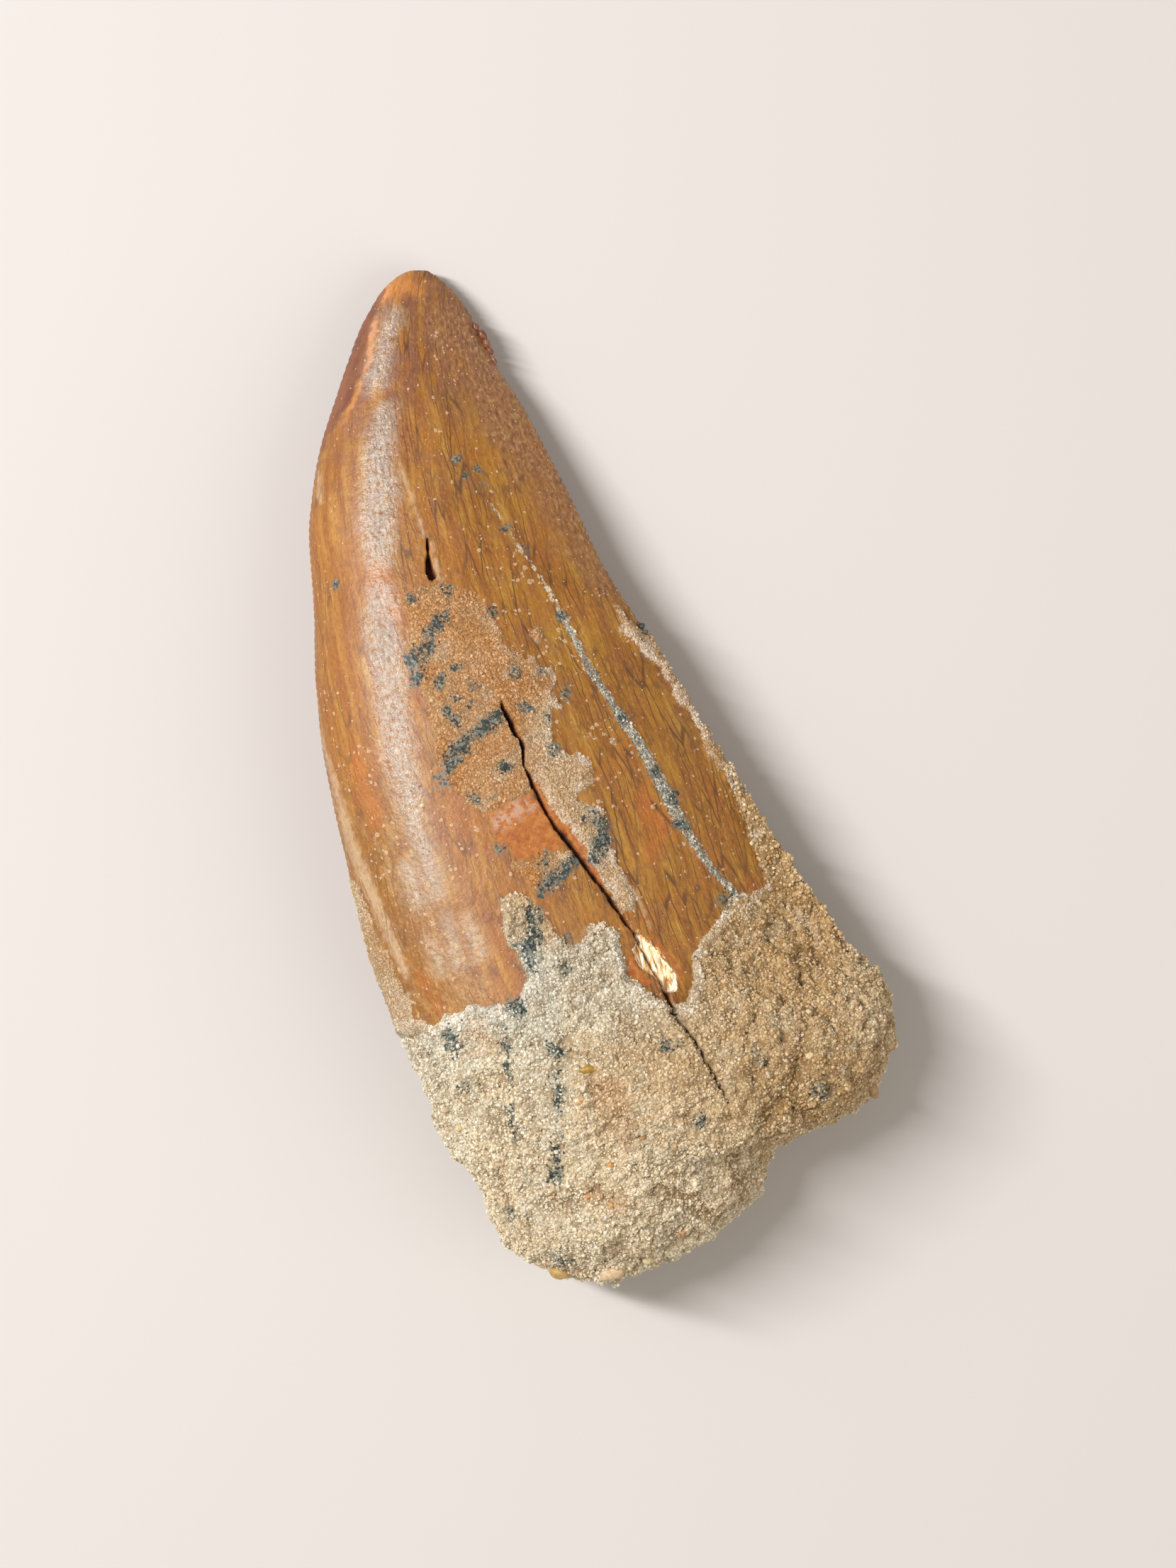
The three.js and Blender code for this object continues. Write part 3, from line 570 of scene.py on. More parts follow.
class Shader:
    """A material's node tree, with short calls that add nodes to it."""

    def __init__(self, name: str) -> None:
        """Starts a material that holds only a Principled shader and its output."""
        self.material = bpy.data.materials.new(name)
        self.material.use_nodes = True
        self.tree = self.material.node_tree
        self.tree.nodes.clear()
        self.surface = self.add("ShaderNodeBsdfPrincipled")
        self.add("ShaderNodeOutputMaterial", Surface=self.surface.outputs["BSDF"])
        self.place = self.add("ShaderNodeTexCoord").outputs["Object"]

    def fill(self, node: bpy.types.Node, inputs: dict[str, object]) -> None:
        """Links or sets inputs: an underscore stands for a space, and i0 or i1 for a number."""
        for key, value in inputs.items():
            place = int(key[1:]) if key[0] == "i" and key[1:].isdigit() else key.replace("_", " ")
            socket = node.inputs[place]
            if isinstance(value, Socket):
                self.tree.links.new(value, socket)
            else:
                socket.default_value = linear(value) if isinstance(value, str) else value

    def add(self, kind: str, settings: dict | None = None, **inputs: object) -> bpy.types.Node:
        """Adds a node with its settings and links.

        Args:
            kind: the node's type.
            settings: properties of the node itself.
            inputs: values or sockets for its inputs, named as fill reads them.

        Returns:
            The node.
        """
        node = self.tree.nodes.new(kind)
        for key, value in (settings or {}).items():
            setattr(node, key, value)
        self.fill(node, inputs)
        return node

    def value(self, name: str) -> Socket:
        """Reads a number stored on the piece's points."""
        return self.add("ShaderNodeAttribute", {"attribute_name": name}).outputs["Fac"]

    def value_vector(self, name: str) -> Socket:
        """Reads a vector stored on the piece's points."""
        return self.add("ShaderNodeAttribute", {"attribute_name": name}).outputs["Vector"]

    def math(self, operation: str, *inputs: object) -> Socket:
        """Does sums on sockets or numbers."""
        numbered = {f"i{k}": value for k, value in enumerate(inputs)}
        return self.add("ShaderNodeMath", {"operation": operation}, **numbered).outputs[0]

    def times(self, *inputs: object) -> Socket:
        """Multiplies two or more sockets or numbers."""
        product = inputs[0]
        for value in inputs[1:]:
            product = self.math("MULTIPLY", product, value)
        return product

    def plus(self, *inputs: object) -> Socket:
        """Adds two or more sockets or numbers."""
        total = inputs[0]
        for value in inputs[1:]:
            total = self.math("ADD", total, value)
        return total

    def step(self, value: object, low: float, high: float) -> Socket:
        """Rises from 0 at low to 1 at high, smoothly."""
        settings = {"interpolation_type": "SMOOTHSTEP"}
        node = self.add("ShaderNodeMapRange", settings, Value=value, From_Min=low, From_Max=high)
        return node.outputs["Result"]

    def mix(self, share: object, first: object, second: object, blend: str = "MIX") -> Socket:
        """Mixes two colours, given as hex or as sockets."""
        settings = {"data_type": "RGBA", "blend_type": blend}
        return self.add("ShaderNodeMix", settings, i0=share, i6=first, i7=second).outputs[2]

    def coats(self, colour: object, *layers: tuple[object, object]) -> Socket:
        """Lays coats over a colour in turn.

        Args:
            colour: the colour under them all, as hex or a socket.
            layers: for each coat how much it covers, from 0 to 1, and its colour.

        Returns:
            The colour that shows.
        """
        for share, coat in layers:
            colour = self.mix(share, colour, coat)
        return colour

    def blend(self, share: object, first: object, second: object) -> Socket:
        """Blends two numbers."""
        return self.add("ShaderNodeMix", i0=share, i2=first, i3=second).outputs[0]

    def noise(
        self, size_mm: float, detail: float = 3.0, place: object = None, warp: float = 0.0,
        rough: float = 0.5
    ) -> Socket:
        """Noise whose blotches are about size_mm across; its middle is 0.5."""
        settings = {"Scale": 1 / (size_mm * MM), "Detail": detail, "Distortion": warp, "Roughness": rough}
        return self.add("ShaderNodeTexNoise", Vector=place or self.place, **settings).outputs["Fac"]

    def warped(self, place: object, size_mm: float, reach_mm: float) -> Socket:
        """Moves coordinates about by noise, so that what is drawn on them wanders."""
        drift = self.add("ShaderNodeTexNoise", Vector=place, Scale=1 / (size_mm * MM), Detail=2.0)
        centred = self.add(
            "ShaderNodeVectorMath", {"operation": "SUBTRACT"}, i0=drift.outputs["Color"], i1=(0.5, 0.5, 0.5))
        reach = (2 * reach_mm * MM,) * 3
        return self.add(
            "ShaderNodeVectorMath", {"operation": "MULTIPLY_ADD"},
            i0=centred.outputs[0], i1=reach, i2=place).outputs[0]

    def ragged(self, edge: object, size_mm: float, reach_mm: float, detail: float = 3.0) -> Socket:
        """Moves a distance in mm in and out by noise, so that the outline read from it is ragged."""
        wobble = self.times(self.plus(self.noise(size_mm, detail), -0.5), 2 * reach_mm)
        return self.plus(edge, wobble)

    def stretched(self, place: object, along: float) -> Socket:
        """Scales coordinates so that a texture comes out long in Y."""
        return self.add("ShaderNodeMapping", Vector=place, Scale=(1, 1 / along, 1)).outputs[0]

    def seams(self, size_mm: float, place: object) -> Socket:
        """Distance from the seams between cells packed in a plane, 0 on a seam, in shares of a cell."""
        settings = {"feature": "DISTANCE_TO_EDGE", "voronoi_dimensions": "2D"}
        return self.add("ShaderNodeTexVoronoi", settings, Vector=place, Scale=1 / (size_mm * MM)).outputs[0]

    def cells(self, size_mm: float, place: object = None) -> tuple[object, object, object]:
        """Scattered cells about size_mm across: distance from the middle, and two random numbers each."""
        node = self.add("ShaderNodeTexVoronoi", Vector=place or self.place, Scale=1 / (size_mm * MM))
        chance = self.add("ShaderNodeSeparateColor", Color=node.outputs["Color"])
        return node.outputs["Distance"], chance.outputs[0], chance.outputs[1]

    def ramp(self, share: object, *stops: tuple[float, str]) -> Socket:
        """Colour ramp through (place, hex) stops."""
        node = self.add("ShaderNodeValToRGB", Fac=share)
        elements = node.color_ramp.elements
        elements[0].position, elements[0].color = stops[0][0], linear(stops[0][1])
        elements[1].position, elements[1].color = stops[-1][0], linear(stops[-1][1])
        for place, colour in stops[1:-1]:
            elements.new(place).color = linear(colour)
        return node.outputs["Color"]

    def bump(self, height: object, depth_mm: float, strength: float) -> Socket:
        """Fine relief of the given depth."""
        node = self.add("ShaderNodeBump", Strength=strength, Distance=depth_mm * MM, Height=height)
        return node.outputs["Normal"]


def sand_colours(sh: Shader, tint: object) -> Socket:
    """Colour of one grain by its random tint, shifted by the zone of the specimen that it lies in.

    Args:
        sh: the material.
        tint: the grain's random number, from 0 to 1.

    Returns:
        Cream, brown, grey or ochre sand, faintly blotched, and whitened where there is cement.
    """
    pale = sh.ramp(tint, (0.0, "#b8a27c"), (0.25, "#cfbd96"), (0.6, "#e0d1b0"), (1.0, "#f2e8d5"))
    brown = sh.ramp(tint, (0.0, "#7e5e38"), (0.25, "#9f7b4a"), (0.6, "#b99762"), (1.0, "#d9c094"))
    grey = sh.ramp(tint, (0.0, "#8e9182"), (0.3, "#b4b19c"), (0.65, "#d2cdba"), (1.0, "#eeeadc"))
    warm = sh.ramp(tint, (0.0, "#7e4814"), (0.3, "#a26522"), (0.65, "#b87d3a"), (1.0, "#dab280"))
    patch = sh.noise(2.6, 5, rough=0.6)
    cement = sh.times(sh.value("limy"), sh.step(sh.noise(0.8, 4), 0.4, 0.58), 0.7)
    return sh.coats(
        pale,
        (sh.value("brown"), brown), (sh.value("grey"), grey), (sh.value("warm"), warm),
        (sh.times(sh.step(patch, 0.52, 0.64), 0.35), "#a9895c"),
        (sh.times(sh.step(patch, 0.46, 0.36), 0.3), "#b0ad96"),
        (cement, "#ece5d6"))


def mineral_stain(sh: Shader, colour: object, grain_mm: float) -> Socket:
    """Lays the blue-grey mineral stain over a colour: a faint veil, and dark grains that thin out in it.

    Args:
        sh: the material.
        colour: what is stained.
        grain_mm: size of the grains that take the stain or stay clear of it.

    Returns:
        The stained colour.
    """
    edge = sh.ragged(sh.value("stain_mm"), 0.9, 0.85, 6)
    depth = sh.times(sh.step(edge, -0.5, 0.4), sh.blend(sh.step(sh.noise(0.7, 3), 0.36, 0.52), 0.5, 1.1))
    _, chance, tone = sh.cells(grain_mm, sh.warped(sh.place, grain_mm * 1.5, grain_mm * 0.3))
    colour = sh.mix(sh.times(depth, 0.6), colour, "#5c655c")
    stain = sh.ramp(tone, (0.0, "#141c1b"), (0.4, "#283633"), (0.75, "#47564f"), (1.0, "#868e84"))
    taken = sh.step(sh.plus(depth, sh.times(sh.plus(chance, -0.5), 1.2)), 0.6, 0.85)
    return sh.mix(sh.times(taken, 0.92), colour, stain)


def packed_sand(sh: Shader, size_mm: float) -> tuple[object, object, object]:
    """Angular grains cemented tight, with a crevice round each and a pit where one has dropped out.

    Args:
        sh: the material.
        size_mm: mean size of a grain.

    Returns:
        A random tint for each grain, the height of the surface, and the share of painted shade
        in the crevices round the grains and in the pits.
    """
    distance, tint, own = sh.cells(size_mm, sh.warped(sh.place, size_mm * 1.4, size_mm * 0.4))
    pit = sh.step(own, 0.2, 0.08)
    body = sh.times(sh.step(distance, 0.85, 0.25), sh.blend(own, 0.45, 1.0))
    height = sh.plus(body, sh.times(sh.noise(size_mm * 0.4, 2), 0.3), sh.times(pit, -0.8))
    # Painted shade: the crevices round each grain and the pits where grains dropped out
    gap = sh.math("MAXIMUM", sh.step(distance, 0.5, 0.8), pit)
    return tint, height, gap


@dataclass(frozen=True)
class FossilEnamel:
    """Fossil enamel, amber to umber: hard, finely lined along the blade, with a soft natural polish.

    The crest is rubbed pale, partly by wear and partly as a painted highlight, dust lies in specks, sand
    that sticks to it is dull and porous, laid-bare dentine is salmon and silky, and the open crack is
    painted brown to near black with its shade.
    """

    ior: float = 1.62
    roughness: float = 0.15
    worn_roughness: float = 0.55
    line_mm: float = 0.62
    hairline_mm: float = 0.3
    network_mm: float = 0.7
    sand_mm: float = 0.15
    stained_grain_mm: float = 0.17

    def lines(self, sh: Shader) -> Socket:
        """Thin dark lines along the blade that wave, fork and join, from 0 to 1, strongest in bundles."""
        blade = sh.warped(sh.value_vector("blade"), 2.2, 0.26)
        line = sh.step(sh.seams(self.line_mm, sh.stretched(blade, 9)), 0.1, 0.02)
        hairline = sh.step(sh.seams(self.hairline_mm, sh.stretched(blade, 7)), 0.15, 0.03)
        network = sh.step(sh.seams(self.network_mm, sh.stretched(blade, 1.7)), 0.13, 0.02)
        bundle = sh.step(sh.noise(2.4, 3, sh.stretched(blade, 3)), 0.42, 0.58)
        hair_bundle = sh.step(sh.noise(1.3, 3, sh.stretched(blade, 3)), 0.45, 0.6)
        where = sh.blend(sh.step(sh.value("across"), 0.2, 0.42), 0.55, 1.0)
        strong = sh.times(line, sh.blend(bundle, 0.15, 1.0))
        weak = sh.times(sh.math("MAXIMUM", hairline, sh.times(network, sh.value("network"), 0.7)), 0.6)
        return sh.times(sh.math("MAXIMUM", strong, sh.times(weak, sh.blend(hair_bundle, 0.25, 1.0))), where)

    def body(self, sh: Shader, lines: object, mottle: object) -> Socket:
        """Amber body colour: golden in front, olive brown behind, rusty and umber towards the tip.

        Args:
            sh: the material.
            lines: the dark lines, from 0 to 1.
            mottle: soft noise that breaks the patches up.

        Returns:
            The colour of the enamel alone.
        """
        blade, shade, tip = sh.value_vector("blade"), sh.value("shade"), sh.value("tip")
        patch = sh.noise(5.0, 4)
        broad = sh.noise(0.75, 4, sh.stretched(blade, 8), 0.15)
        patchy = sh.step(sh.noise(1.1, 5, sh.stretched(blade, 2.2), rough=0.65), 0.5, 0.6)
        fine = sh.noise(0.2, 4, sh.stretched(blade, 2.5), rough=0.7)
        grit = sh.noise(0.34, 5, sh.stretched(blade, 1.5), rough=0.7)
        amber = sh.ramp(broad, (0.34, "#8a4f0e"), (0.47, "#985e12"), (0.56, "#a26a18"), (0.68, "#b17d2a"))
        behind = sh.ramp(broad, (0.34, "#87530c"), (0.47, "#996410"), (0.58, "#a37018"), (0.7, "#b2832c"))
        gold = sh.ramp(broad, (0.34, "#985810"), (0.5, "#a5681a"), (0.64, "#b07a2e"))
        rusty = sh.mix(sh.step(mottle, 0.4, 0.6), "#642f16", "#824624")
        umber = sh.ramp(grit, (0.36, "#64401f"), (0.46, "#855733"), (0.55, "#9d6f46"), (0.68, "#c09868"))
        mauve = sh.step(sh.noise(1.2, 4, sh.stretched(blade, 2)), 0.4, 0.56)
        warm = sh.step(sh.ragged(sh.value("orange_mm"), 1.4, 1.0, 4), -0.8, 0.8)
        streak = sh.step(sh.ragged(sh.value("pale_mm"), 0.6, 0.5, 5), -0.25, 0.35)
        bevel = sh.ragged(sh.value("bevel_mm"), 0.9, 0.5)
        ridge = sh.step(sh.math("ABSOLUTE", sh.plus(bevel, 0.3)), 0.32, 0.05)
        edge = sh.ragged(sh.value("umber_mm"), 1.8, 3.0, 5)
        return sh.coats(
            amber,
            (sh.times(sh.step(sh.value("across"), 0.35, 0.8), 0.8), behind),
            (sh.times(sh.step(patch, 0.5, 0.64), 0.4), "#a05c16"),
            (sh.times(sh.step(patch, 0.46, 0.34), 0.3), "#906a32"),
            (sh.times(sh.value("gold"), 0.6), gold),
            (sh.times(shade, sh.blend(sh.step(mottle, 0.4, 0.6), 0.5, 0.9)), "#8c5c16"),
            (sh.times(shade, patchy, 0.5), "#b58c52"),
            (sh.times(sh.step(mottle, 0.5, 0.64), 0.42), "#875029"),
            (sh.times(tip, mauve, 0.85), "#7c4a33"),
            (sh.times(warm, 0.55), sh.mix(tip, "#b8641c", "#e2923c")),
            (sh.times(streak, 0.62), "#cfb28c"),
            (sh.times(sh.step(fine, 0.53, 0.66), 0.4), "#5e380e"),
            (sh.times(sh.step(fine, 0.46, 0.32), sh.blend(shade, 0.35, 0.7)), "#c99a54"),
            (sh.times(lines, 0.8), "#4c2d0e"),
            (sh.times(sh.step(bevel, -0.25, 0.2), 0.75), rusty),
            (sh.times(ridge, tip, sh.step(mottle, 0.35, 0.55), 0.7), "#d8905a"),
            (sh.times(sh.step(edge, -1.4, 1.8), 0.75), umber))

    def dust(self, sh: Shader) -> tuple[object, object]:
        """Pale angular flakes of many sizes, thick where the piece says that dust lies.

        Args:
            sh: the material.

        Returns:
            Where there are flakes, from 0 to 1, and their colour, paler at the rim.
        """
        drift = sh.times(sh.value("dusty"), sh.step(sh.noise(1.5, 3), 0.38, 0.62))
        middle, chance, _ = sh.cells(0.36, sh.warped(sh.place, 0.22, 0.16))
        reach = sh.times(sh.plus(sh.times(drift, 0.45), chance, -0.83), 1.3)
        inner = sh.math("SUBTRACT", reach, middle)
        flake = sh.ramp(inner, (0.0, "#ead2b6"), (0.12, "#d6b48e"), (0.3, "#c6a078"))
        return sh.step(inner, -0.02, 0.04), flake

    def crest(self, sh: Shader, body: object, lines: object) -> Socket:
        """Rubs the crest pale in scratches and paints a highlight on it, the dark lines still faint.

        Args:
            sh: the material.
            body: the colour so far.
            lines: the dark lines, from 0 to 1.

        Returns:
            The new colour.
        """
        wear_and_highlight = sh.value("wear_and_highlight")
        scratch = sh.noise(0.32, 5, sh.stretched(sh.value_vector("blade"), 1.4), rough=0.7)
        # Painted highlight: the crest's pale colour, cooler where it glints, stands in for the sheen
        pale = sh.mix(sh.value("glint"), "#c4b294", "#c2beb2")
        return sh.coats(
            body,
            (sh.times(wear_and_highlight, sh.step(scratch, 0.28, 0.62), 0.67), pale),
            (sh.times(lines, wear_and_highlight, 0.4), "#6e4a26"))

    def bared(self, sh: Shader, body: object) -> tuple[object, object]:
        """Shows salmon dentine where the enamel is gone, and the white fibres of the chip.

        Args:
            sh: the material.
            body: the colour so far.

        Returns:
            The new colour, and where dentine shows, from 0 to 1.
        """
        dentine = sh.ramp(
            sh.noise(0.5, 6, rough=0.65), (0.36, "#964e0e"), (0.5, "#a35c14"), (0.62, "#b0702c"))
        bleach = sh.times(sh.value("bleach"), sh.step(sh.noise(0.6, 6, rough=0.65), 0.42, 0.54), 0.7)
        worn = sh.step(sh.ragged(sh.value("dentine_mm"), 0.4, 0.3), -0.04, 0.08)
        fibres = sh.noise(0.24, 4, sh.stretched(sh.place, 6), 0.8)
        fibre = sh.ramp(fibres, (0.36, "#8a5420"), (0.43, "#cf9c56"), (0.5, "#eed6a6"), (0.62, "#fbf0d8"))
        chip = sh.step(sh.ragged(sh.value("chip_mm"), 0.4, 0.25), -0.04, 0.06)
        return sh.coats(body, (worn, sh.mix(bleach, dentine, "#bc9a80")), (chip, fibre)), worn

    def sanded(self, sh: Shader, body: object) -> tuple[object, object, object]:
        """Lays on the sand that sticks to the enamel, dull and porous, and greyer in the vein.

        Args:
            sh: the material.
            body: the colour so far.

        Returns:
            The new colour, where the sand lies, from 0 to 1, and the height of its grains.
        """
        grey = sh.value("grey")
        sand = sh.step(sh.ragged(sh.value("sand_mm"), 0.35, 0.35, 4), -0.05, 0.1)
        tint, packed, gap = packed_sand(sh, self.sand_mm)
        vein = sh.times(sh.step(sh.value("vein_mm"), -0.3, 0.0), sh.step(sh.noise(0.4, 4), 0.6, 0.4))
        crust = sh.coats(
            sand_colours(sh, sh.blend(0.25, tint, sh.noise(0.7, 4))),
            # Painted shade: the crust's crevices darkened brown, and dark grey-green in the grey vein
            (sh.times(gap, sh.blend(grey, 0.5, 0.8)), sh.mix(grey, "#74502a", "#3c433c")),
            (sh.times(vein, grey, 0.72), "#545145"))
        return sh.mix(sh.times(sand, 0.95), body, crust), sand, packed

    def opened(self, sh: Shader, body: object) -> tuple[object, object]:
        """Paints shade into the open crack and the pit, brown at the rim and near black within.

        Args:
            sh: the material.
            body: the colour so far.

        Returns:
            The new colour, and where the crack and the pit are, from 0 to 1.
        """
        depth = sh.value("dark_mm")
        deep = sh.step(depth, -0.05, 0.01)
        # Painted shade: brown at the rim to near black deeper in the crack, lighter brown in the pit
        hole = sh.ramp(depth, (0.0, "#6d3814"), (0.06, "#3d1c0a"), (0.14, "#160b05"))
        hole = sh.mix(sh.step(sh.value("pit_mm"), 0.0, 0.2), hole, "#5a260c")
        return sh.mix(deep, body, hole), deep

    def build(self) -> bpy.types.Material:
        """Makes the material; it reads the crown's own marks and its coordinates along the blade."""
        sh = Shader("fossil_enamel_and_dentine")
        mottle = sh.noise(1.7, 4)
        lines = self.lines(sh)
        body = self.crest(sh, self.body(sh, lines, mottle), lines)
        dust, flake = self.dust(sh)
        body, worn = self.bared(sh, sh.mix(sh.times(dust, 0.66), body, flake))
        body, sand, packed = self.sanded(sh, body)
        body, deep = self.opened(sh, mineral_stain(sh, body, self.stained_grain_mm))
        dull = sh.math("MAXIMUM", sh.math("MAXIMUM", sand, deep), sh.times(worn, 0.5))
        dull = sh.math("MAXIMUM", dull, sh.times(dust, 0.8))
        shine = sh.value("glint")
        polish = sh.plus(sh.blend(shine, self.worn_roughness, self.roughness), sh.times(mottle, 0.12), -0.06)
        crumpled = sh.times(sh.noise(0.8, 4, rough=0.7), sh.blend(shine, 1.2, 5.0))
        skin = sh.plus(sh.times(sh.noise(0.3, 3), 0.9), crumpled)
        clean = sh.math("SUBTRACT", 1.0, sand)
        height = sh.plus(sh.times(skin, clean), sh.times(packed, sand, 1.3), sh.times(dust, 0.5))
        sh.fill(sh.surface, {
            "Base Color": body, "Roughness": sh.blend(dull, polish, 0.93), "IOR": self.ior,
            "Normal": sh.bump(height, 0.07, 0.9)})
        return sh.material


@dataclass(frozen=True)
class Sandstone:
    """Loosely cemented sandstone, cream to tan: matt, pitted between its grains, stained blue-grey."""

    roughness: float = 0.93
    grain_mm: float = 0.24
    stained_grain_mm: float = 0.2

    def build(self) -> bpy.types.Material:
        """Makes the material of the cement and the buried grains."""
        sh = Shader("cemented_sandstone")
        tint, height, gap = packed_sand(sh, self.grain_mm)
        colour = sand_colours(sh, sh.blend(0.45, tint, sh.noise(0.9, 4)))
        # Painted shade: brown in the crevices between grains and in the low hollows of the relief
        gap = sh.math("MAXIMUM", sh.times(gap, 0.6), sh.times(sh.value("hollow_shade"), 0.7))
        colour = sh.mix(gap, colour, "#7a5c34")
        colour = mineral_stain(sh, colour, self.stained_grain_mm)
        # Painted shade: the crack through the sandstone is coloured near black
        colour = sh.mix(sh.step(sh.value("dark_mm"), -0.08, 0.03), colour, "#2a190a")
        sh.fill(sh.surface, {
            "Base Color": colour, "Roughness": self.roughness, "Normal": sh.bump(height, 0.12, 0.9)})
        return sh.material


@dataclass(frozen=True)
class GrainKind:
    """One mineral of the sand: a name, how common it is, and the look of its worn grains.

    The glow is the share of light that softens inside a grain before it comes out again.
    """

    name: str
    share: float
    roughness: float
    tone: str
    strength: float
    glow: float = 0.4
    ior: float = 1.54
    stained_grain_mm: float = 0.2

    def build(self) -> bpy.types.Material:
        """Makes the material: the zone's sand colour, pulled towards the mineral's own tone."""
        sh = Shader(f"{self.name}_sand_grains")
        colour = sh.mix(self.strength, sand_colours(sh, sh.value("tint")), self.tone)
        colour = mineral_stain(sh, colour, self.stained_grain_mm)
        sh.fill(sh.surface, {
            "Base Color": colour, "Roughness": self.roughness, "IOR": self.ior,
            "Subsurface Weight": self.glow, "Subsurface Radius": (1.0, 0.85, 0.6),
            "Subsurface Scale": 0.12 * MM,
            "Normal": sh.bump(sh.noise(0.1, 2), 0.02, 0.4)})
        return sh.material


@dataclass(frozen=True)
class WornGrain:
    """Worn quartz and chert, faintly mottled and a little glossy, each grain in its own tone."""

    roughness: float = 0.42
    ior: float = 1.54

    def build(self) -> bpy.types.Material:
        """Makes the material; it reads the tone stored on the points."""
        sh = Shader("worn_quartz_and_chert_grains")
        mottled = sh.step(sh.noise(0.3, 4), 0.35, 0.65)
        colour = sh.mix(mottled, sh.value_vector("tone"), "#e6dac0", "MULTIPLY")
        sh.fill(sh.surface, {
            "Base Color": colour, "Roughness": self.roughness, "IOR": self.ior,
            "Normal": sh.bump(sh.noise(0.12, 3), 0.04, 0.7)})
        return sh.material


@dataclass(frozen=True)
class Paper:
    """Plain paper, matt and warm white."""

    colour: str = "#c8c3bd"
    roughness: float = 0.95

    def build(self) -> bpy.types.Material:
        """Makes the material."""
        sh = Shader("warm_white_paper")
        sh.fill(sh.surface, {"Base Color": self.colour, "Roughness": self.roughness})
        return sh.material


# Pieces


@dataclass
class Zones:
    """Where the sand is brown, grey, warm or white with cement, over the whole specimen."""

    def brown(self, points: Array) -> Array:
        """Share of brown sand: behind and below the rear lobe, and in blotches elsewhere."""
        x, y, z = np.moveaxis(points, -1, 0)
        blotch = rough(points, 6.0, 61)
        rear = smoothstep(-6, 17, x + 4 * blotch) * (1 - 0.5 * smoothstep(14, 18, x))
        low = smoothstep(8, 2, z) * 0.1
        middle = 0.38 * smoothstep(-8, -2, x) * smoothstep(-33, -28, y)
        tongue = 0.55 * smoothstep(-14.8, -12.8, y) * smoothstep(-4.6, -5.4, x) * smoothstep(-8, -9.4, y)
        patches = low + middle + tongue + 0.25 * blotch
        return np.clip(0.06 + 0.56 * rear * smoothstep(-40, -31, y) + patches, 0, 1)

    def warm(self, points: Array) -> Array:
        """Share of pinkish and ochre sand, in a few soft patches."""
        x, y = points[..., 0], points[..., 1]
        patches = within_any(x, y, [
            [(-3.6, -25.6, 1.4), (-2.4, -28.0, 1.2)], [(-4.2, -33.4, 0.6), (-5.8, -32.4, 0.5)],
            [(-12.2, -18.6, 0.8), (-11.2, -19.6, 1.0)]])
        wander = rough(points, 1.2, 64)
        return np.clip(0.45 * smoothstep(-1.0, 0.8, patches + wander) + 0.08 * wander, 0, 1)

    def limy(self, edge: Array, points: Array) -> Array:
        """Share of white cement, in a broken line along the edge of the sand.

        Args:
            edge: distance in mm inside the sand.
            points: places, with x, y and z last.

        Returns:
            The share at each place, from 0 up.
        """
        x, y = points[..., 0], points[..., 1]
        band = smoothstep(-0.1, 0.1, edge) * smoothstep(1.0, 0.3, edge)
        band = band * (1 - smoothstep(-14.6, -13.0, y) * smoothstep(-4.6, -5.4, x))
        return band * np.clip(0.75 + 0.9 * rough(points, 2.4, 73), 0, 1)

    def grey(self, points: Array) -> Array:
        """Share of grey sand: near the seam on the front half, and in faint streaks."""
        x, y, _ = np.moveaxis(points, -1, 0)
        near = smoothstep(-24, -16, y) * smoothstep(-11.8, -14.4, y) * smoothstep(7, -2, x)
        streaks = smoothstep(0.0, 0.6, noise(points, (2.2, 8.0, 4.0), 62)) * smoothstep(2, -6, x)
        flecks = smoothstep(0.35, 0.7, rough(points, 1.6, 68))
        return np.clip(0.75 * near + 0.4 * streaks + 0.35 * flecks, 0, 1)


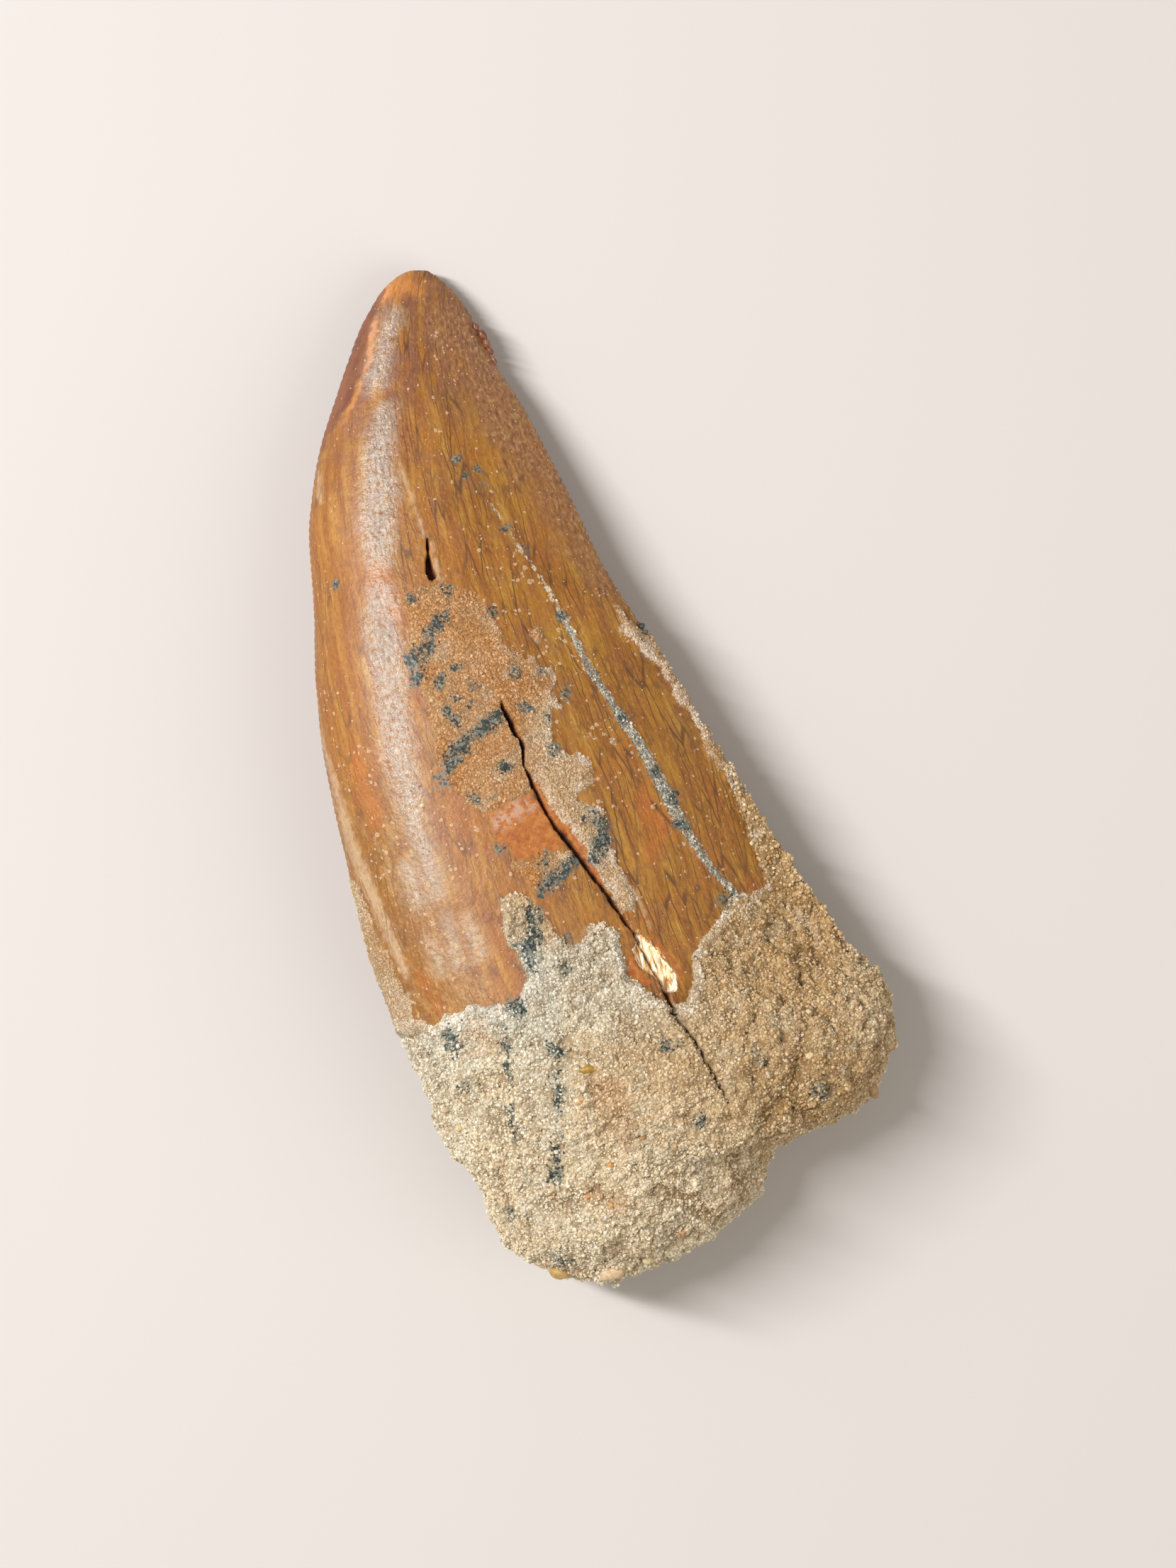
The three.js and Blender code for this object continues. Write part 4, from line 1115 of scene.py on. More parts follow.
@dataclass
class Crown:
    """The enamelled blade, with its denticles, its crack, pit and chip, and the crust on it."""

    form: CrownForm
    seam: Seam
    zones: Zones
    marks: dict[Face, Marks]
    finish: FossilEnamel
    outer_columns: int = 150
    inner_columns: int = 84
    row_step: float = 0.15
    denticle_pitch: float = 0.6
    rear_notch: float = 0.2
    front_notch: float = 0.07
    crust_rise: float = 0.42
    crack_depth: float = 1.2
    chip_depth: float = 0.45
    drawn_in: float = 0.13
    focus: Stations = field(default_factory=lambda: [
        (-24, 4.2), (-18.2, 2.4), (-13.5, 0.9), (-8.8, -1.2), (-5, -2.9), (0, -4.45), (5, -5.2),
        (10, -7), (16.3, -8.6), (24, -8.8), (32, -7.8), (38, -6), (39.5, -5.6)])
    surface: Array = field(init=False)
    found: dict[str, Array] = field(init=False)

    def rows(self) -> Array:
        """Stations along the blade, a quarter of a denticle apart and closer over the tip."""
        end = 38.4
        even = np.arange(self.form.root_y, end, self.row_step)
        turn = np.linspace(0, math.pi / 2, 14)[:-1]
        return np.concatenate([even, end + (self.form.tip[1] - end) * np.sin(turn)])

    def spread(self, u: Array, start: float | Array, end: float | Array) -> Array:
        """Goes from 0 to 1 with the given slopes at its ends, to crowd columns where they are needed."""
        return u * u * (3 - 2 * u) + start * u * (1 - u) ** 2 - end * u * u * (1 - u)

    def grid(self) -> tuple[Array, Array, Array]:
        """Rings of the bare blade.

        The columns of the outer face crowd at the front edge and along the crack; those of the inner
        face run back from the rear edge.

        Returns:
            The places, the share across the blade of each, and which face it's on (1 or -1).
        """
        y = self.rows()[:, None]
        centre = np.clip(self.form.share(through(self.focus, y), y), 0.25, 0.75)
        t = np.linspace(0, 1, self.outer_columns)[None, :]
        left = centre * self.spread(np.clip(2 * t, 0, 1), 0.0, 0.35)
        right = (1 - centre) * self.spread(np.clip(2 * t - 1, 0, 1), 0.35 * centre / (1 - centre), 0.5)
        outer = left + right
        back = np.linspace(1, 0, self.inner_columns + 2)[None, 1:-1]
        inner = self.spread(back, 0.1, 0.5) + 0 * y
        share = np.concatenate([outer, inner], axis=1)
        places = np.concatenate([
            self.form.points(outer, y, Face.OUTER), self.form.points(inner, y, Face.INNER)], axis=1)
        face = np.concatenate([np.ones_like(outer), -np.ones_like(inner)], axis=1)
        return places, share, face

    def fields(self, places: Array, face: Array) -> dict[str, Array]:
        """Measures how deep every point lies in each kind of mark.

        Args:
            places: rings of points, in mm.
            face: the face that each is on, 1 or -1.

        Returns:
            Distances in mm by kind of mark, positive inside it.
        """
        x, y = places[..., 0], places[..., 1]
        shake = 0.3 * noise(places, 1.3, 66) + 0.2 * noise(places, 0.5, 67)
        fields: dict[str, Array] = {}
        for side, marks in self.marks.items():
            here = face == side.value
            found = {
                "sand_mm": marks.crust_depth(x, y) + shake,
                "vein_mm": within_path(x, y, marks.vein),
                "stain_mm": marks.stain_depth(x, y),
                "dark_mm": np.maximum(within_path(x, y, marks.crack), within_path(x, y, marks.pit)),
                "pit_mm": within_path(x, y, marks.pit),
                "chip_mm": inside(x, y, marks.chip),
                "dentine_mm": np.maximum(
                    inside(x, y, marks.window) + shake, within_path(x, y, marks.crack_lip)),
                "bevel_mm": inside(x, y, marks.bevel),
                "umber_mm": inside(x, y, marks.umber),
                "seam_mm": self.seam.sandward(places, side),
            }
            for rim in marks.chip_rims:
                found["dentine_mm"] = np.maximum(found["dentine_mm"], within_path(x, y, rim))
            found["dark_mm"] = found["dark_mm"] + 0.03 + 0.09 * noise(places, 0.45, 48)
            # The rubbed crest's marks also place a painted highlight
            lists = {"pale_mm": marks.pale, "bleach_mm": marks.bleached, "wear_and_highlight_mm": marks.wear_and_highlight,
                     "orange_mm": marks.orange}
            for name, paths in lists.items():
                found[name] = within_any(x, y, paths)
            for name, values in found.items():
                near = np.clip(values, -MARK_REACH, MARK_REACH)
                fields[name] = np.where(here, near, fields.get(name, 0.0))
        fields["sand_mm"] = np.maximum(fields["sand_mm"], np.maximum(fields["vein_mm"], fields["seam_mm"]))
        return fields

    def relief(self, places: Array, fields: dict[str, Array]) -> Array:
        """Height above the bare blade, in mm.

        Faint ribs and swellings all over; crust that stands up unevenly; and the crack, the pit and
        the chip sunk by steep steps, the chip with fibres on its floor.

        Args:
            places: rings of points of the bare blade, in mm.
            fields: how deep each lies in each kind of mark.

        Returns:
            The height at each point.
        """
        ribs = 0.018 * noise(places, (0.45, 7.0, 0.9), 41) + 0.03 * noise(places, (1.6, 12.0, 3.0), 42)
        swell = 0.07 * rough(places, 4.0, 43)
        edge = fields["sand_mm"] + 0.2 * noise(places, 0.6, 44)
        lump, _ = pebbles(places, 0.42, 45)
        crust = smoothstep(-0.05, 0.35, edge) * (0.5 + 0.5 * rough(places, 0.9, 49) + 0.25 * lump)
        crust = crust * (0.6 + 0.4 * smoothstep(-6, -2, places[..., 0]))
        crust = crust * np.where((fields["vein_mm"] > -0.3) | (places[..., 0] < -15), 0.6, 1.0)
        chip = smoothstep(-0.05, 0.2, fields["chip_mm"])
        fibres = 0.16 * noise(places, (0.28, 2.0, 0.5), 46) - self.chip_depth
        cut = smoothstep(-0.05, 0.05, fields["dark_mm"])
        bevel = 0.1 * np.clip(fields["bevel_mm"], 0, 3)
        height = ribs + swell + self.crust_rise * crust * (1 - chip) - bevel
        return height + chip * fibres - self.crack_depth * cut

    def denticles(self, places: Array) -> Array:
        """Moves in plan that cut the notches of both edges, a notch on every fourth row."""
        x, y = places[..., 0], places[..., 1]
        notch = (1 - np.abs(np.sin(math.pi * (y - self.form.root_y) / self.denticle_pitch))) ** 1.2
        notch = notch * (0.8 + 0.35 * noise(np.stack([0 * y, y, 0 * y], axis=-1), 1.1, 47))
        front = x - through(self.form.front, y)
        rear = through(self.form.rear, y) - x
        return notch * (self.front_notch * np.exp(-(front / 0.4) ** 2)
                        - self.rear_notch * np.exp(-(rear / 0.45) ** 2))

    def along(self, places: Array) -> Array:
        """Coordinates in metres, unrolled across each face and bent with the blade, to draw lines on.

        They close in a little towards the tip.

        Args:
            places: rings of points of the bare blade, in mm.

        Returns:
            The coordinates of each point, whose third is 0.
        """
        y = places[..., 1]
        front, rear = through(self.form.front, y), through(self.form.rear, y)
        fan = 1 + 0.35 * np.clip(24 / np.maximum(rear - front, 4) - 1, -0.3, 2)
        steps = np.linalg.norm(np.diff(places, axis=1), axis=-1)
        across = np.pad(np.cumsum(steps, axis=1), ((0, 0), (1, 0)))
        edge, end = across[:, self.outer_columns - 1, None], across[:, -1:]
        outer = np.arange(places.shape[1]) < self.outer_columns
        across = across - np.where(outer, edge / 2, (edge + end) / 2)
        return np.stack([across * fan, y, 0 * y], axis=-1) * MM

    def dust(self, places: Array, fields: dict[str, Array]) -> Array:
        """How thick the pale dust lies: thick beside the sand and in a few known drifts."""
        x, y = places[..., 0], places[..., 1]
        drifts = [[(-10.2, -3.6, 1.6), (-10.4, -6.4, 1.6)], [(-14.2, -8.0, 1.4), (-13.6, -12.6, 1.6)],
                  [(-3.6, 16.2, 1.2), (-2.2, 12.8, 1.4)], [(-17.6, 8.0, 0.6), (-17.6, 2.0, 0.6)],
                  [(2.6, 0.8, 1.2), (1.8, -2.4, 1.0)], [(-6.6, 26.0, 0.6), (-6.0, 29.4, 0.6)],
                  [(-16.6, 6.0, 0.5), (-15.6, 0.6, 1.2), (-16.2, -5.4, 1.0)],
                  [(0.0, 8.4, 0.9), (1.2, 6.6, 0.6)], [(-9.8, 33.0, 0.3), (-8.0, 35.6, 0.3)],
                  [(-4.2, 33.8, 0.6), (-3.8, 31.0, 0.5)]]
        near = within_any(x, y, drifts)
        beside = smoothstep(-2.0, 0.0, fields["sand_mm"])
        return np.clip(0.12 + 0.4 * beside + 0.7 * smoothstep(-1.6, 0.8, near), 0, 1)

    def tint(self, bare: Array, share: Array, fields: dict[str, Array]) -> None:
        """Adds the shares, from 0 to 1, by which the finish tints each point.

        Args:
            bare: rings of points of the bare blade, in mm.
            share: how far across the blade each lies, from 0 at the front edge to 1 at the rear one.
            fields: how deep each lies in each kind of mark. The shares are put in it, and those of the
            rubbed crest with its painted highlight and of bleaching replace their distances.
        """
        x, y = bare[..., 0], bare[..., 1]
        vein = smoothstep(-0.5, -0.2, fields["vein_mm"])
        left = smoothstep(-14, -16, x)
        fields["gold"] = np.maximum(smoothstep(0.5, 0.12, share), smoothstep(35.5, 38.5, y))
        fields["across"] = share
        fields["brown"] = np.maximum(self.zones.brown(bare), 0.35 * left) * (1 - vein)
        grey = self.zones.grey(bare) * 0.7
        fields["grey"] = np.maximum(grey * (1 - 0.8 * left), 0.9 * vein * smoothstep(13, 7, y))
        strip = np.maximum(fields["vein_mm"], fields["seam_mm"]) > -0.4
        edges = smoothstep(0.14, 0.06, share) + smoothstep(0.9, 0.96, share)
        low_rear = smoothstep(-5, -2.5, x) * smoothstep(6, 3, y)
        warm = np.where(strip, 0.05, 0.9 - 0.55 * np.clip(edges + low_rear, 0, 1))
        fields["warm"] = np.clip(warm + 0.2 * rough(bare, 2.2, 63), 0, 1) * (1 - 0.9 * vein)
        fields["dusty"] = self.dust(bare, fields)
        behind = smoothstep(-6, -1, x) * (fields["vein_mm"] < -0.5)
        fields["limy"] = self.zones.limy(fields["sand_mm"], bare) * (0.25 + 0.5 * behind)
        network = smoothstep(0.7, 0.85, share) * (smoothstep(12, 6, y) * smoothstep(-14, -8, y))
        fields["network"] = np.maximum(network, 0.8 * smoothstep(0.5, 0.35, share))
        fields["tip"] = smoothstep(24, 33, y)
        fields["shade"] = smoothstep(4, -4, y) * smoothstep(0.3, 0.2, share)
        # Painted highlight over the rubbed crest; the glint is its brighter, cooler part higher up
        fields["wear_and_highlight"] = smoothstep(-1.1, 0.8, fields.pop("wear_and_highlight_mm") + 0.5 * rough(bare, 1.6, 65))
        fields["glint"] = fields["wear_and_highlight"] * (0.35 + 0.65 * smoothstep(-8, 1, y))
        fields["bleach"] = smoothstep(-0.5, 0.4, fields.pop("bleach_mm"))

    def build(self) -> bpy.types.Object:
        """Makes the crown as one closed surface with its marks stored on its points.

        Under the sandstone the root is drawn in towards its own axis, so that it doesn't show there.
        """
        bare, share, face = self.grid()
        fields = self.fields(bare, face)
        places = bare + normals(bare) * self.relief(bare, fields)[..., None]
        places[..., 0] += self.denticles(bare)
        under = smoothstep(0.4, 2.6, fields["seam_mm"])[..., None]
        axis = places.mean(axis=1, keepdims=True)
        places = places + (axis - places) * self.drawn_in * under * np.array([1, 0, 1])
        places[..., 2] = np.maximum(places[..., 2], OFF_FLOOR)

        start = places[0].mean(axis=0)
        points, faces = ring_surface(places, start, np.array(self.form.tip))
        piece = make_piece("crown", points, faces)
        self.tint(bare, share, fields)
        paint_rings(piece, {**fields, "blade": self.along(bare)})
        piece.data.materials.append(self.finish.build())
        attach(piece, "root")
        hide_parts("tooth_crown")
        self.surface, self.found = places, fields
        log.info("crown: %d points", len(points))
        return piece


@dataclass
class Matrix:
    """The clump of sandstone, pitted and lumpy, with a ragged lip on the enamel."""

    form: SandForm
    crown: CrownForm
    seam: Seam
    zones: Zones
    marks: dict[Face, Marks]
    finish: Sandstone
    columns: int = 170
    row_step: float = 0.19
    ceiling: float = 17.35
    easing: float = 0.15
    flat_border: float = 0.6
    gullies: list[Line] = field(default_factory=lambda: [
        [(8, -29, 0.5), (10, -28.2, 0.7), (11.4, -30.4, 0.5)],
        [(-1.5, -33, 0.3), (0.5, -34, 0.6), (3, -36.4, 0.7)],
        [(5, -32, 0.4), (5.4, -34, 0.5)],
        [(7.2, -31.6, 0.4), (12, -25.5, 0.4)],
        [(-12.5, -29, 0.3), (-12.8, -32, 0.5)]])
    surface: Array = field(init=False)
    found: dict[str, Array] = field(init=False)

    def rows(self) -> Array:
        """Stations from the rounded foot to just past the seam."""
        turn = np.linspace(0.1, math.pi / 2, 18)[:-1]
        foot = self.form.foot[1]
        return np.concatenate([foot + 2.5 * (1 - np.cos(turn)), np.arange(foot + 2.5, 1.0, self.row_step)])

    def relief(self, places: Array) -> Array:
        """Height above the plain clump: swellings, lumps of grains and pits between them, in mm."""
        lump, own = pebbles(places, 1.25, 51)
        small, tiny = pebbles(places, 0.6, 52)
        height = 0.5 * rough(places, 3.0, 53) + 0.34 * (own - 0.5) + 0.36 * (lump - 0.5)
        height = height + 0.2 * (small - 0.5) + 0.14 * (tiny - 0.5)
        furrows = smoothstep(0.15, 0.6, noise(places, (0.8, 2.0, 1.0), 55)) * smoothstep(0, 9, places[..., 0])
        pits = smoothstep(0.3, 0.7, rough(places, 1.5, 54))
        return height - 0.42 * pits - 0.36 * furrows

    def build(self) -> bpy.types.Object:
        """Makes the clump as one closed surface with its marks stored on its points."""
        y = self.rows()[:, None]
        t = np.linspace(0, 1, self.columns)[None, :]
        share = t * t * (3 - 2 * t) + 0 * y
        outer, seam_outer = self.form.points(share, y, Face.OUTER, self.crown, self.seam)
        inner, seam_inner = self.form.points(share, y, Face.INNER, self.crown, self.seam)
        bare = np.concatenate([outer, inner[:, -2:0:-1]], axis=1)
        seam = np.concatenate([seam_outer, seam_inner[:, -2:0:-1]], axis=1)
        face = np.where(np.arange(bare.shape[1]) < self.columns, 1, -1) + 0 * y
        plan = bare[..., 0], bare[..., 1]
        gully = within_any(*plan, self.gullies)
        fields = {"stain_mm": np.zeros_like(seam), "dark_mm": np.zeros_like(seam)}
        for side, marks in self.marks.items():
            here = face == side.value
            stain = np.clip(marks.stain_depth(*plan), -MARK_REACH, MARK_REACH)
            crack = np.clip(within_path(*plan, marks.crack), -MARK_REACH, MARK_REACH)
            fields["stain_mm"] = np.where(here, stain, fields["stain_mm"])
            fields["dark_mm"] = np.where(here, crack + 0.03, fields["dark_mm"])
        on = smoothstep(-0.1, 0.5, seam)
        height = self.relief(bare) * on - 0.45 * smoothstep(-0.5, 0.6, gully) * (face > 0)
        height = height - 0.6 * smoothstep(-0.12, 0.02, fields["dark_mm"])
        push = normals(bare) * height[..., None]
        # Near the flat underside points are pushed less to the side, so that it doesn't fold there
        push[..., :2] *= smoothstep(0.0, self.flat_border, bare[..., 2])[..., None]
        places = bare + push
        above = (places[..., 2] - self.ceiling) / self.easing
        places[..., 2] -= self.easing * np.logaddexp(0, above)
        places[..., 2] = np.maximum(places[..., 2], 0.0)

        last = places[-1].mean(axis=0)
        points, faces = ring_surface(places, np.array(self.form.foot), last)
        piece = make_piece("sandstone", points, faces)
        # Painted shade: the gullies are browned as well as sunk
        fields["brown"] = np.clip(self.zones.brown(bare) + 0.3 * smoothstep(-0.5, 0.6, gully), 0, 1)
        fields["grey"] = self.zones.grey(bare)
        fields["warm"] = self.zones.warm(bare)
        fields["limy"] = self.zones.limy(seam - 0.1, bare)
        # Painted shade: the low parts of the relief, which the finish darkens
        fields["hollow_shade"] = np.clip(smoothstep(0.05, -0.5, height), 0, 1)
        paint_rings(piece, fields)
        piece.data.materials.append(self.finish.build())
        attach(piece, "root")
        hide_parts("sandstone_matrix")
        fields["seam_mm"] = seam
        self.surface, self.found = places, fields
        log.info("sandstone: %d points", len(points))
        return piece


@dataclass
class Scatter:
    """Places chosen at random on a stack of rings, no two closer than a spacing."""

    surface: Array
    weight: Array
    count: int
    spacing: float
    rng: np.random.Generator

    def choose(self) -> tuple[Array, Array, Array]:
        """Chooses places by area and weight.

        Returns:
            The places, the outward normals there, and the flat index of the ring point next to each.
        """
        p = self.surface
        after = np.roll(p, -1, axis=1)
        a, b, c, d = p[:-1], after[:-1], after[1:], p[1:]
        area = 0.5 * np.linalg.norm(np.cross(c - a, d - b), axis=-1)
        odds = (area * self.weight[:-1]).ravel()
        pick = self.rng.choice(odds.size, self.count, p=odds / odds.sum())
        row, column = np.divmod(pick, p.shape[1])
        u, v = self.rng.random((2, self.count, 1))
        low = a[row, column] * (1 - u) + b[row, column] * u
        high = d[row, column] * (1 - u) + c[row, column] * u
        places = low * (1 - v) + high * v
        cell = np.floor(places / self.spacing).astype(int)
        _, kept = np.unique(cell, axis=0, return_index=True)
        return places[kept], normals(p)[row, column][kept], pick[kept]


@dataclass
class Grains:
    """A crowd of sand grains in one mesh, each an angular lump of fourteen flat faces."""

    kind: GrainKind
    slot: str
    rng: np.random.Generator

    def lump(self) -> tuple[Array, Array]:
        """Corners and faces of a prism with three sides and a low peak on each: fourteen triangles."""
        turn = np.arange(3) * 2 * math.pi / 3
        reach, rise = 0.71, 0.7
        end = np.stack([reach * np.cos(turn), reach * np.sin(turn), np.full(3, rise)], axis=-1)
        turn = turn + math.pi / 3
        peaks = np.stack([np.cos(turn), np.sin(turn), np.zeros(3)], axis=-1)
        faces = [(0, 1, 2), (3, 5, 4)]
        for i, j in ((0, 1), (1, 2), (2, 0)):
            peak = 6 + i
            faces += [(i, peak, j), (3 + i, 3 + j, peak), (i, 3 + i, peak), (j, peak, 3 + j)]
        return np.concatenate([end, end * (1, 1, -1), peaks]), np.array(faces)

    def turns(self, count: int) -> Array:
        """Random rotations, from quaternions spread evenly over the sphere."""
        q = self.rng.normal(size=(count, 4))
        w, x, y, z = (q / np.linalg.norm(q, axis=1, keepdims=True)).T
        return np.stack([
            np.stack([1 - 2 * (y * y + z * z), 2 * (x * y - z * w), 2 * (x * z + y * w)], axis=-1),
            np.stack([2 * (x * y + z * w), 1 - 2 * (x * x + z * z), 2 * (y * z - x * w)], axis=-1),
            np.stack([2 * (x * z - y * w), 2 * (y * z + x * w), 1 - 2 * (x * x + y * y)], axis=-1),
        ], axis=-2)

    def build(self, places: Array, outward: Array, size: Array, marks: dict[str, Array]) -> bpy.types.Object:
        """Makes the piece.

        Args:
            places: where each grain meets the surface, in mm.
            outward: the surface's normals there.
            size: diameter of each grain in mm.
            marks: numbers for each grain that its finish reads.

        Returns:
            The piece.
        """
        corners, faces = self.lump()
        count = len(places)
        stretch = self.rng.uniform(0.7, 1.25, (count, 1, 3))
        knobs = 1 + self.rng.uniform(-0.22, 0.16, (count, len(corners), 1))
        shape = corners[None] * stretch * knobs
        shape = np.einsum("nij,nkj->nki", self.turns(count), shape) * (size / 2)[:, None, None]
        centre = places + outward * (self.rng.uniform(-0.36, 0.1, (count, 1)) * size[:, None])
        points = shape + centre[:, None]
        points[..., 2] += np.maximum(OFF_FLOOR - points[..., 2].min(axis=1), 0)[:, None]
        every = faces[None] + (np.arange(count) * len(corners))[:, None, None]
        name = f"{self.kind.name}_grains_{self.slot}"
        piece = make_piece(name, points.reshape(-1, 3), [every.reshape(-1, 3)], smooth=False)
        for name, values in marks.items():
            paint(piece, name, np.repeat(values, len(corners)))
        piece.data.materials.append(self.kind.build())
        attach(piece, "root")
        log.info("%s: %d grains", piece.name, count)
        return piece


KINDS = [
    GrainKind("quartz", 0.3, 0.45, "#efe6d2", 0.2),
    GrainKind("feldspar", 0.31, 0.7, "#e4d2ac", 0.15),
    GrainKind("calcite", 0.27, 0.6, "#e2d6ba", 0.15),
    GrainKind("ochre", 0.09, 0.75, "#b98442", 0.35),
    GrainKind("lithic", 0.03, 0.6, "#6d6658", 0.5),
]
STRAY = GrainKind("stray_quartz", 0.0, 0.5, "#c09870", 0.75)


@dataclass
class Sand:
    """The grains that show: those of the clump, those of the crust, and a few stray ones."""

    crown: Crown
    matrix: Matrix
    rng: np.random.Generator
    clump_count: int = 66000
    clump_spacing: float = 0.225
    crust_count: int = 7000
    crust_spacing: float = 0.2
    stray_count: int = 1500
    stray_spacing: float = 0.3

    def marks(self, fields: dict[str, Array], near: Array) -> dict[str, Array]:
        """Takes the marks of the nearest surface point for each grain, and a random tint.

        Args:
            fields: marks of the surface that the grains lie on.
            near: flat index of the surface point next to each grain.

        Returns:
            The numbers that the grains' finish reads, one for each grain.
        """
        taken = {name: fields[name].ravel()[near] for name in ("stain_mm", "brown", "grey", "warm", "limy")}
        taken["stain_mm"] = taken["stain_mm"] + self.rng.normal(-0.2, 0.35, len(near))
        taken["tint"] = self.rng.beta(2.0, 1.7, len(near))
        return taken

    def clump(self) -> None:
        """Covers the sandstone with grains of every kind, about as thick as they lie in the rock."""
        found = self.matrix.found
        weight = smoothstep(0.0, 0.15, found["seam_mm"]) * (found["dark_mm"] < -0.06)
        weight = weight * np.where(normals(self.matrix.surface)[..., 2] > -0.2, 1.0, 0.4)
        weight = weight * (self.matrix.surface[..., 2] > 0.1)
        scatter = Scatter(self.matrix.surface, weight, self.clump_count, self.clump_spacing, self.rng)
        places, outward, near = scatter.choose()
        size = np.clip(0.25 * np.exp(0.26 * self.rng.normal(size=len(places))), 0.14, 0.45)
        marks = self.marks(found, near)
        shares = np.cumsum([kind.share for kind in KINDS])
        which = np.searchsorted(shares, self.rng.random(len(places)) * shares[-1])
        for number, kind in enumerate(KINDS):
            mine = which == number
            own = {name: values[mine] for name, values in marks.items()}
            grains = Grains(kind, "sandstone", self.rng)
            grains.build(places[mine], outward[mine], size[mine], own)

    def crust(self) -> None:
        """Strews finer grains over the crust, the vein and the strips, and a few on bare enamel."""
        found = self.crown.found
        on_crust = smoothstep(0.0, 0.2, found["sand_mm"]) * (found["dark_mm"] < -0.08)
        on_crust = on_crust * (found["chip_mm"] < -0.1) * (found["seam_mm"] < 0.4)
        patch = rough(self.crown.surface, 1.3, 69) + 0.5 * smoothstep(-6, -2, self.crown.surface[..., 0])
        on_crust = on_crust * (0.15 + smoothstep(-0.1, 0.5, patch))
        on_crust = on_crust * np.where(found["vein_mm"] > -0.2, 0.25, 1.0)
        dense = Scatter(self.crown.surface, on_crust, self.crust_count, self.crust_spacing, self.rng)
        drifts = smoothstep(0.1, 0.6, rough(self.crown.surface, 1.2, 70)) * found["dusty"]
        bare = (0.03 + drifts) * (found["dark_mm"] < -0.1) * (found["seam_mm"] < 0.0)
        loose = Scatter(self.crown.surface, bare, self.stray_count, self.stray_spacing, self.rng)
        for scatter, kind, mean in ((dense, KINDS[1], 0.165), (loose, STRAY, 0.135)):
            places, outward, near = scatter.choose()
            size = np.clip(mean * np.exp(0.36 * self.rng.normal(size=len(places))), 0.08, 0.5)
            marks = self.marks(found, near)
            grains = Grains(kind, "fossil_enamel", self.rng)
            grains.build(places, outward, size, marks)


@dataclass(frozen=True)
class LargeGrain:
    """A grain or knob that stands out: its place in plan, its length and width, its turn and tone."""

    x: float
    y: float
    length: float
    width: float
    turn_degrees: float
    tone: str


OCHRE, CREAM, WHITE, ORANGE, TAN, RUSTY, DARK = (
    "#a5822c", "#d8c69c", "#f2ecdc", "#d19c5e", "#a58358", "#7c4c34", "#3b3a31")

LARGE_GRAINS = [
    LargeGrain(-4.35, -23.1, 1.3, 0.75, -5, OCHRE), LargeGrain(-11.55, -20.95, 0.5, 0.4, 30, WHITE),
    LargeGrain(-14.9, -25.7, 0.65, 0.5, 60, CREAM), LargeGrain(16.4, -29.2, 1.1, 1.4, 20, TAN),
    LargeGrain(12.2, -25.5, 0.8, 0.65, 15, CREAM), LargeGrain(-5.5, -25.4, 0.5, 0.35, 0, ORANGE),
    LargeGrain(-4.2, -30.5, 0.55, 0.45, 40, ORANGE), LargeGrain(0.1, -36.8, 0.7, 0.5, 20, "#cf9464"),
    LargeGrain(-6.3, -32.5, 0.45, 0.35, 0, ORANGE), LargeGrain(-4.7, -33.5, 0.4, 0.35, 50, ORANGE),
    LargeGrain(-9.7, -38.1, 1.5, 1.0, -20, "#b89a5e"), LargeGrain(-5.9, -38.9, 2.0, 1.0, 3, "#cdb392"),
    LargeGrain(-2.9, -38.4, 0.9, 0.7, 10, CREAM), LargeGrain(-1.4, -29.0, 0.5, 0.4, 10, TAN),
    LargeGrain(-1.55, 34.2, 0.6, 0.4, 110, RUSTY), LargeGrain(-1.2, 33.5, 0.9, 0.6, 112, RUSTY),
    LargeGrain(-1.0, 32.8, 0.8, 0.6, 108, "#8c5a3e"), LargeGrain(-0.85, 32.2, 0.7, 0.5, 112, RUSTY),
    LargeGrain(-0.7, 31.4, 0.6, 0.35, 110, "#8c5a3e"), LargeGrain(6.35, 8.9, 0.5, 0.4, 60, DARK),
    LargeGrain(6.5, 8.45, 0.4, 0.35, 10, "#4f4c3d"), LargeGrain(6.15, 9.15, 0.32, 0.28, 0, DARK),
    LargeGrain(-12.7, -1.2, 0.55, 0.4, 20, CREAM),
]


